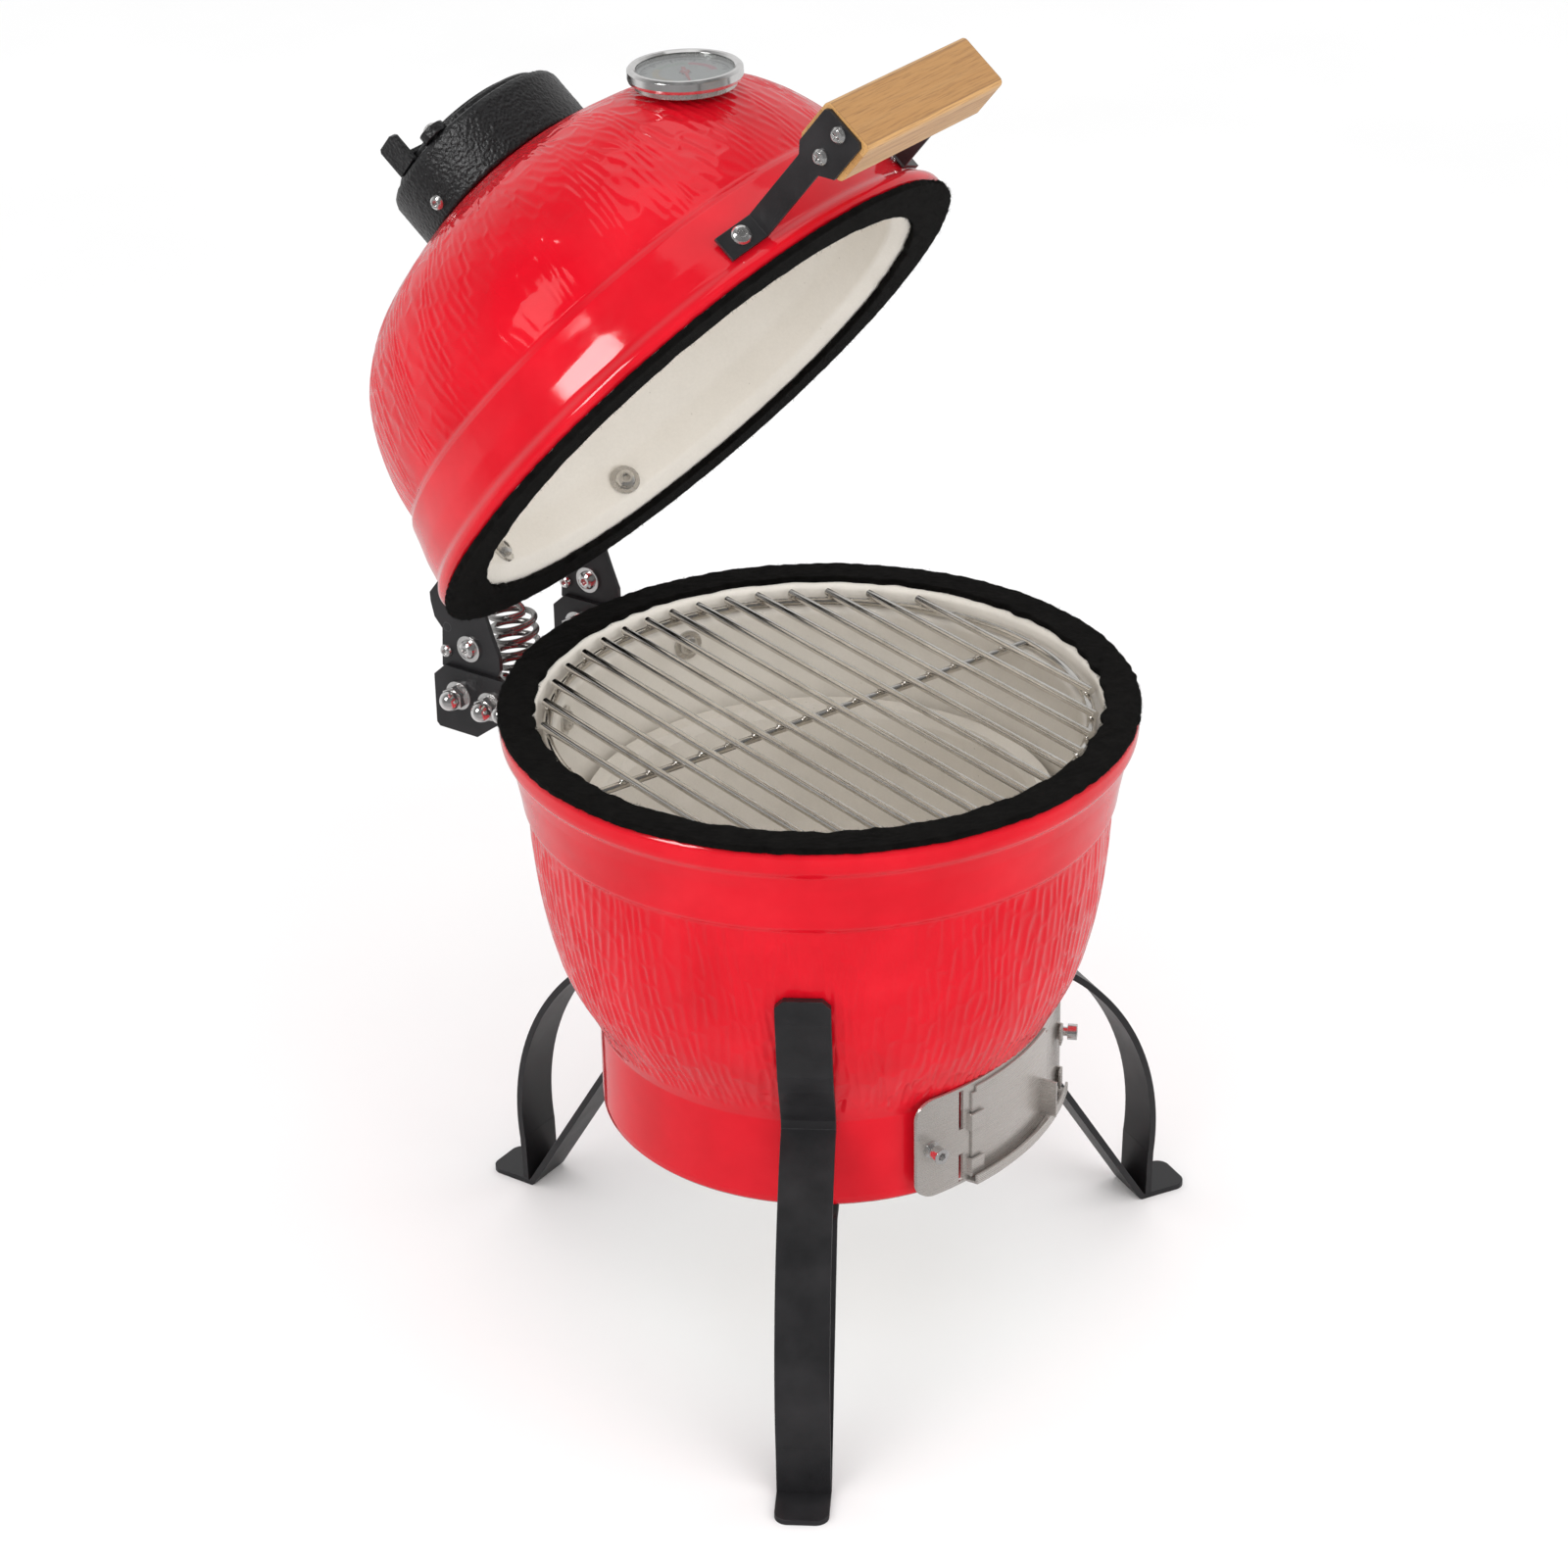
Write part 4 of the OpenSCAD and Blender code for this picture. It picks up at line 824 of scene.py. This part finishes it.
def fibres(name, spots, seed):
    """Loose felt fibres as thin curved tapering hairs, one from each (point, direction) given."""
    rng = random.Random(seed)
    points, faces = [], []
    for root, out in spots:
        length = rng.uniform(0.0007, 0.0020)
        side = Vector((rng.uniform(-1, 1), rng.uniform(-1, 1), rng.uniform(-1, 1)))
        side = side.cross(out).normalized()
        lean = (out * rng.uniform(0.35, 1.0) + side * rng.uniform(0.2, 1.1)).normalized()
        curl = side.cross(lean) * rng.uniform(-0.6, 0.6)
        tip = root + (lean + curl).normalized() * length
        across = lean.orthogonal().normalized()
        other = lean.cross(across).normalized()
        first = len(points)
        for place, thick in (
            (root - out * 0.0003, HAIR_R), (root + lean * length * 0.5, HAIR_R * 0.8)
        ):
            for k in range(3):
                turn = k * math.tau / 3
                points.append(place + (across * math.cos(turn) + other * math.sin(turn)) * thick)
        points.append(tip)
        for k in range(3):
            n = (k + 1) % 3
            faces.append([first + k, first + n, first + 3 + n, first + 3 + k])
            faces.append([first + 3 + k, first + 3 + n, first + 6])
        faces.append([first + 2, first + 1, first])
    return new_mesh(name, points, faces)


def fuzz_spots(inner, outer, low, high, side, count, seed):
    """Roots for loose fibres along both edges and over the face; side is +1 if it looks up."""
    rng = random.Random(seed)
    face = high if side > 0 else low
    spots = []
    for _ in range(count):
        turn = rng.uniform(0, math.tau)
        out = Vector((math.cos(turn), math.sin(turn), 0))
        pick = rng.random()
        if pick < ON_OUTER_EDGE:
            height = rng.uniform(low + 0.0004, high - 0.0004)
            spots.append((out * (outer - 0.0001) + Vector((0, 0, height)), out))
        elif pick < ON_AN_EDGE:
            height = rng.uniform(low + 0.001, high - 0.0002)
            spots.append((out * (inner + 0.0002) + Vector((0, 0, height)), -out))
        else:
            up = Vector((0, 0, side))
            spots.append((out * rng.uniform(inner, outer) + Vector((0, 0, face)), up))
    return spots


def flat_span(node, level):
    """Inner radius, outer radius, lowest and highest of a CAD ring about the axis."""
    points = [(level @ v.co) if level else v.co for v in nodes[node].data.vertices]
    radii = [math.hypot(p.x, p.y) for p in points]
    heights = [p.z for p in points]
    return min(radii), max(radii), min(heights), max(heights)


for piece_name, node, body, level, side, seed in (
    ("base_felt", "base_gasket", "base", None, 1, 31),
    ("lid_felt", "lid_gasket", "lid", lid_rest, -1, 41),
):
    inner, outer, low, high = flat_span(node, level.inverted() if level else None)
    ring_mesh = felt_ring(piece_name, inner, outer, low + 0.0001, high - 0.0002, seed)
    spots = fuzz_spots(inner, outer, low, high - TOUCH, side, FIBRES, seed + 5)
    hair_mesh = fibres(piece_name + "_fibres", spots, seed + 6)
    for name, mesh in ((piece_name, ring_mesh), (piece_name + "_fibres", hair_mesh)):
        if level:
            mesh.transform(level)
        piece = add_piece(name, mesh, body, [FELT])
        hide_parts(node)


# ------------ hinge spring
WIRE_SIDES = 14


def tube(name, path, radius):
    """A round wire along a path, with closed ends."""
    sides = WIRE_SIDES
    points, faces, rings = [], [], []
    normal = (path[1] - path[0]).orthogonal().normalized()
    for i, place in enumerate(path):
        along = (path[min(i + 1, len(path) - 1)] - path[max(i - 1, 0)]).normalized()
        normal = (normal - along * normal.dot(along)).normalized()
        other = along.cross(normal)
        first = len(points)
        for k in range(sides):
            turn = k * math.tau / sides
            points.append(place + (normal * math.cos(turn) + other * math.sin(turn)) * radius)
        rings.append(list(range(first, first + sides)))
    for a, b in zip(rings, rings[1:]):
        join(faces, a, b)
    faces.append(rings[0][::-1])
    faces.append(rings[-1])
    return new_mesh(name, points, faces)


WIRE_R, COIL_R, COIL_TURNS = 0.0017, 0.0120, 5.5
COIL_STEPS, HOOK_STEPS = 40, 30     # points to a turn of the coil, and to a hook
HOOK_R, HOOK_NECK = 0.0045, 0.0032
spring_low = Vector((0, 0.1945, 0.30825))
spring_top = lid_rest @ Vector((0, 0.1900, 0.0155))
spring_way = spring_top - spring_low
spring_length = spring_way.length
coil_low = HOOK_R + WIRE_R + HOOK_NECK
coil_high = spring_length - coil_low


def spring_path():
    """Lower hook, coils and upper hook, upright with the lower hook's middle at the origin."""
    corners = [
        (0, HOOK_R * math.cos(a), HOOK_R * math.sin(a))
        for a in np.radians(np.linspace(60, -270, HOOK_STEPS))
    ]
    steps = int(COIL_TURNS * COIL_STEPS)
    for i in range(steps + 1):
        turn, share = math.radians(90) + i * math.tau / COIL_STEPS, i / steps
        height = coil_low + share * (coil_high - coil_low)
        corners.append((COIL_R * math.cos(turn), COIL_R * math.sin(turn), height))
    corners += [
        (0, HOOK_R * math.cos(a), spring_length + HOOK_R * math.sin(a))
        for a in np.radians(np.linspace(230, 560, HOOK_STEPS))
    ]
    soft = np.array(corners)
    for _ in range(4):
        soft[1:-1] = (soft[:-2] + 2 * soft[1:-1] + soft[2:]) / 4
    return [Vector(p) for p in soft]


spring_mesh = tube("hinge_spring_coil", spring_path(), WIRE_R)
spring_lean = Matrix.Rotation(-math.atan2(spring_way.y, spring_way.z), 4, "X")
spring_mesh.transform(Matrix.Translation(spring_low) @ spring_lean)
spring = add_piece("hinge_spring_coil", spring_mesh, None, [SPRING_STEEL])
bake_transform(spring)
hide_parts("hinge_spring")


# ------------ grate welds
def weld_beads(name, places, size, seed):
    """Small flattened uneven beads of weld metal."""
    rng = random.Random(seed)
    work = bmesh.new()
    for place in places:
        made = bmesh.ops.create_icosphere(work, subdivisions=2, radius=1)
        stretch = [rng.uniform(0.8, 1.2) * size[k] for k in range(3)]
        for vert in made["verts"]:
            uneven = 0.10 * math.sin(7 * vert.co.x + place.x * 900)
            wobble = 1 + uneven * math.sin(6 * vert.co.y + place.y * 700)
            vert.co = place + Vector(vert.co[k] * stretch[k] * wobble for k in range(3))
    mesh = bpy.data.meshes.new(name)
    work.to_mesh(mesh)
    work.free()
    return mesh


BAR_PITCH, BAR_COUNT = 0.0163, 16
BEAD_SIZE = (0.0024, 0.0024, 0.0015)
ring_low, ring_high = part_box("grate_ring")
wire_r = (ring_high.z - ring_low.z) / 2
grate_r = (ring_high.x - ring_low.x) / 2 - wire_r
weld_places = []
for i in range(BAR_COUNT):
    x = (i - (BAR_COUNT - 1) / 2) * BAR_PITCH
    y = math.sqrt(grate_r**2 - x * x)
    for spot in (Vector((x, y, 0)), Vector((x, -y, 0)), Vector((x, 0, 0))):
        spot.rotate(Matrix.Rotation(math.radians(GRATE_TURN), 3, "Z"))
        weld_places.append(spot + Vector((0, 0, ring_high.z)))
weld_mesh = weld_beads("grate_weld_beads", weld_places, BEAD_SIZE, 51)
add_piece("grate_weld_beads", weld_mesh, "cooking_grate", [WIRE])


# ------------ thermometer scale
def flat_shapes(name, outlines, low, high, place):
    """Thin raised marks, each a polygon in the dial's plane."""
    points, faces = [], []
    for outline in outlines:
        first, count = len(points), len(outline)
        points += [Vector((x, y, z)) for z in (low, high) for x, y in outline]
        faces.append([first + k for k in range(count)][::-1])
        faces.append([first + count + k for k in range(count)])
        faces += [
            [first + k, first + (k + 1) % count, first + count + (k + 1) % count, first + count + k]
            for k in range(count)
        ]
    mesh = new_mesh(name, points, faces)
    fix_normals(mesh)
    mesh.transform(place)
    return mesh


def arc_band(start, end, r0, r1, steps=24):
    """Outline of a band from one angle to another, in degrees, between two radii."""
    turns = [math.radians(start + (end - start) * k / steps) for k in range(steps + 1)]
    return [(r0 * math.cos(a), r0 * math.sin(a)) for a in turns] + [
        (r1 * math.cos(a), r1 * math.sin(a)) for a in turns[::-1]
    ]


def tick(angle, r0, r1, half):
    """Outline of a straight mark that points to the middle, half its width to each side."""
    a = math.radians(angle)
    along, side = Vector((math.cos(a), math.sin(a))), Vector((-math.sin(a), math.cos(a)))
    corners = ((r0, -half), (r1, -half), (r1, half), (r0, half))
    return [tuple(along * r + side * offset) for r, offset in corners]


DIAL_TOP = -0.00358     # height of the dial's face along the stem, from the needle's pivot
INK_FOOT, INK_TOP, ZONE_TOP = DIAL_TOP + 0.00002, DIAL_TOP + 0.00012, DIAL_TOP + 0.00009
SCALE_LOW, SCALE_HIGH = 225, -45
TICKS, TICKS_TO_A_LONG_ONE = 40, 5
LONG_TICK, SHORT_TICK = (0.0182, 0.0217, 0.00035), (0.0198, 0.0217, 0.00018)
ZONE_INNER, ZONE_OUTER = 0.0130, 0.0162
ZONES = (
    ("low", 190, 100, (0.42, 0.34, 0.24)),
    ("middle", 98, 32, (0.30, 0.34, 0.28)),
    ("high", 30, -40, (0.50, 0.12, 0.16)),
)
dial_lean = Matrix.Rotation(-math.atan2(stem_axis.y, stem_axis.z), 4, "X")
dial_place = Matrix.Translation(stem_foot) @ dial_lean
ticks = []
for i in range(TICKS + 1):
    angle = SCALE_LOW + (SCALE_HIGH - SCALE_LOW) * i / TICKS
    ticks.append(tick(angle, *(SHORT_TICK if i % TICKS_TO_A_LONG_ONE else LONG_TICK)))
ticks.append(arc_band(SCALE_LOW, SCALE_HIGH, 0.0219, 0.0223, 48))
scale_mesh = flat_shapes("thermometer_scale", ticks, INK_FOOT, INK_TOP, dial_place)
add_piece("thermometer_scale", scale_mesh, "lid", [INK], smooth=False)
for zone, start, end, colour in ZONES:
    band = arc_band(start, end, ZONE_INNER, ZONE_OUTER)
    mesh = flat_shapes("scale", [band], INK_FOOT, ZONE_TOP, dial_place)
    enamel = painted("zone_" + zone, colour)
    add_piece("thermometer_zone_" + zone, mesh, "lid", [enamel], smooth=False)


# ------------ castings
def crinkle(node, voxel, depth, size):
    """Gives a casting soft edges and a crinkled skin, depth high and size across."""
    casting = nodes[node]
    remesh = casting.modifiers.new("cast_skin", "REMESH")
    remesh.mode = "VOXEL"
    remesh.voxel_size = voxel
    remesh.use_smooth_shade = True
    grain = bpy.data.textures.new("crinkle", "CLOUDS")
    grain.noise_scale = size
    grain.noise_depth = 2
    relief = casting.modifiers.new("crinkle", "DISPLACE")
    relief.texture = grain
    relief.texture_coords = "LOCAL"
    relief.strength = depth
    relief.mid_level = 0.5


crinkle("chimney_collar", voxel=0.00065, depth=0.00055, size=0.0016)


# ------------ floor, light and camera
def plain_floor():
    """A pale floor; in reflections it is dark on the camera's side and bright behind the object."""
    half = 6.0
    corners = [(-half, -half, 0), (half, -half, 0), (half, half, 0), (-half, half, 0)]
    mesh = new_mesh("floor", corners, [(0, 1, 2, 3)])
    floor = bpy.data.objects.new("floor", mesh)
    scene.collection.objects.link(floor)
    g = Graph("pale_floor")
    pale = g.mix(g.span(g.noise(0.4, 3, 0.5), 0, 1), (0.90, 0.90, 0.90), (0.93, 0.93, 0.93))
    dot = g.node("VectorMath", operation="DOT_PRODUCT")
    g.put(dot.inputs[0], g.place())
    dot.inputs[1].default_value = AWAY
    dim = g.ramp(g.math("ADD", dot.outputs["Value"], 0.5), (0.15, FLOOR_NEAR), (0.72, FLOOR_FAR))
    seen = g.mix(g.node("LightPath").outputs["Is Glossy Ray"], pale, dim)
    g.set(Base_Color=seen, Roughness=0.7, Specular_IOR_Level=0.2)
    mesh.materials.append(g.material)


def softbox(name, at, aim, width, height, power, mirrored):
    """A softbox that is either only seen in reflections or only lights matt surfaces."""
    data = bpy.data.lights.new(name, "AREA")
    data.shape = "RECTANGLE"
    data.size, data.size_y, data.energy = width, height, power
    light = bpy.data.objects.new(name, data)
    scene.collection.objects.link(light)
    light.location = at
    light.rotation_euler = (Vector(aim) - Vector(at)).to_track_quat("-Z", "Y").to_euler()
    light.visible_glossy, light.visible_diffuse = mirrored, not mirrored


def white_room(background, fill, near, far):
    """White behind the object and even light from all round.

    Glossy surfaces see a room that goes from near, on the camera's side, to far, behind the object.
    """
    world = bpy.data.worlds.new("white_room")
    scene.world = world
    world.use_nodes = True
    tree = world.node_tree
    out = tree.nodes["Background"]
    path = tree.nodes.new("ShaderNodeLightPath")

    def pick(test, no, yes):
        made = tree.nodes.new("ShaderNodeMix")
        tree.links.new(path.outputs[test], made.inputs["Factor"])
        for socket, value in ((made.inputs["A"], no), (made.inputs["B"], yes)):
            if isinstance(value, bpy.types.NodeSocket):
                tree.links.new(value, socket)
            else:
                socket.default_value = value
        return made.outputs["Result"]

    dot = tree.nodes.new("ShaderNodeVectorMath")
    dot.operation = "DOT_PRODUCT"
    tree.links.new(tree.nodes.new("ShaderNodeTexCoord").outputs["Generated"], dot.inputs[0])
    dot.inputs[1].default_value = (*AWAY[:2], -0.45)
    mirrored = tree.nodes.new("ShaderNodeMapRange")
    mirrored.interpolation_type = "SMOOTHSTEP"
    tree.links.new(dot.outputs["Value"], mirrored.inputs["Value"])
    for key, value in (("From Min", -0.5), ("From Max", 0.6), ("To Min", near), ("To Max", far)):
        mirrored.inputs[key].default_value = value
    out.inputs["Color"].default_value = (1, 1, 1, 1)
    lit = pick("Is Glossy Ray", fill, mirrored.outputs["Result"])
    tree.links.new(pick("Is Camera Ray", lit, background), out.inputs["Strength"])


def camera(at, azimuth, elevation, roll, lens):
    """A camera that looks along azimuth (0 is +Y) and down by elevation, in degrees."""
    a, e, r = (math.radians(v) for v in (azimuth, elevation, roll))
    right = Vector((math.cos(a), math.sin(a), 0))
    back = Vector((math.sin(a) * math.cos(e), -math.cos(a) * math.cos(e), math.sin(e)))
    up = back.cross(right)
    right, up = right * math.cos(r) + up * math.sin(r), up * math.cos(r) - right * math.sin(r)
    data = bpy.data.cameras.new("camera")
    data.lens, data.sensor_width = lens, 36
    data.clip_start = 0.05
    made = bpy.data.objects.new("camera", data)
    scene.collection.objects.link(made)
    made.matrix_world = Matrix.Translation(at) @ Matrix((right, up, back)).transposed().to_4x4()
    scene.camera = made


CAMERA_PLACE, CAMERA_LENS = Vector((-1.58184, -1.09955, 1.31137)), 96.08
CAMERA_AZIMUTH, CAMERA_ELEVATION, CAMERA_ROLL = -54.64, 27.53, -1.04
AWAY = (-math.sin(math.radians(CAMERA_AZIMUTH)), math.cos(math.radians(CAMERA_AZIMUTH)), 0)
FLOOR_NEAR, FLOOR_FAR = 0.20, 0.62      # how pale the floor looks in a reflection
SOFTBOXES = (           # name, place, aim, width, height, power, seen only in reflections
    ("highlight", (-1.72, 0.59, 1.67), (0, 0.1, 0.45), 0.55, 0.85, 19, True),
    ("front", (-0.4, -2.3, 1.0), (0, 0, 0.4), 1.3, 1.0, 10, False),
    ("left", (-2.3, -0.2, 0.9), (0, 0, 0.3), 1.3, 1.0, 12, False),
    ("high", (-1.2, -1.3, 2.3), (0, 0, 0.3), 1.3, 1.3, 11, False),
    ("ceiling", (0.2, 0.2, 2.4), (0, 0, 0.3), 1.1, 1.5, 3.6, True),
)
plain_floor()
white_room(background=1.0, fill=1.07, near=0.13, far=0.68)
for box in SOFTBOXES:
    softbox(*box)
camera(CAMERA_PLACE, CAMERA_AZIMUTH, CAMERA_ELEVATION, CAMERA_ROLL, CAMERA_LENS)
scene.view_settings.view_transform = "Standard"
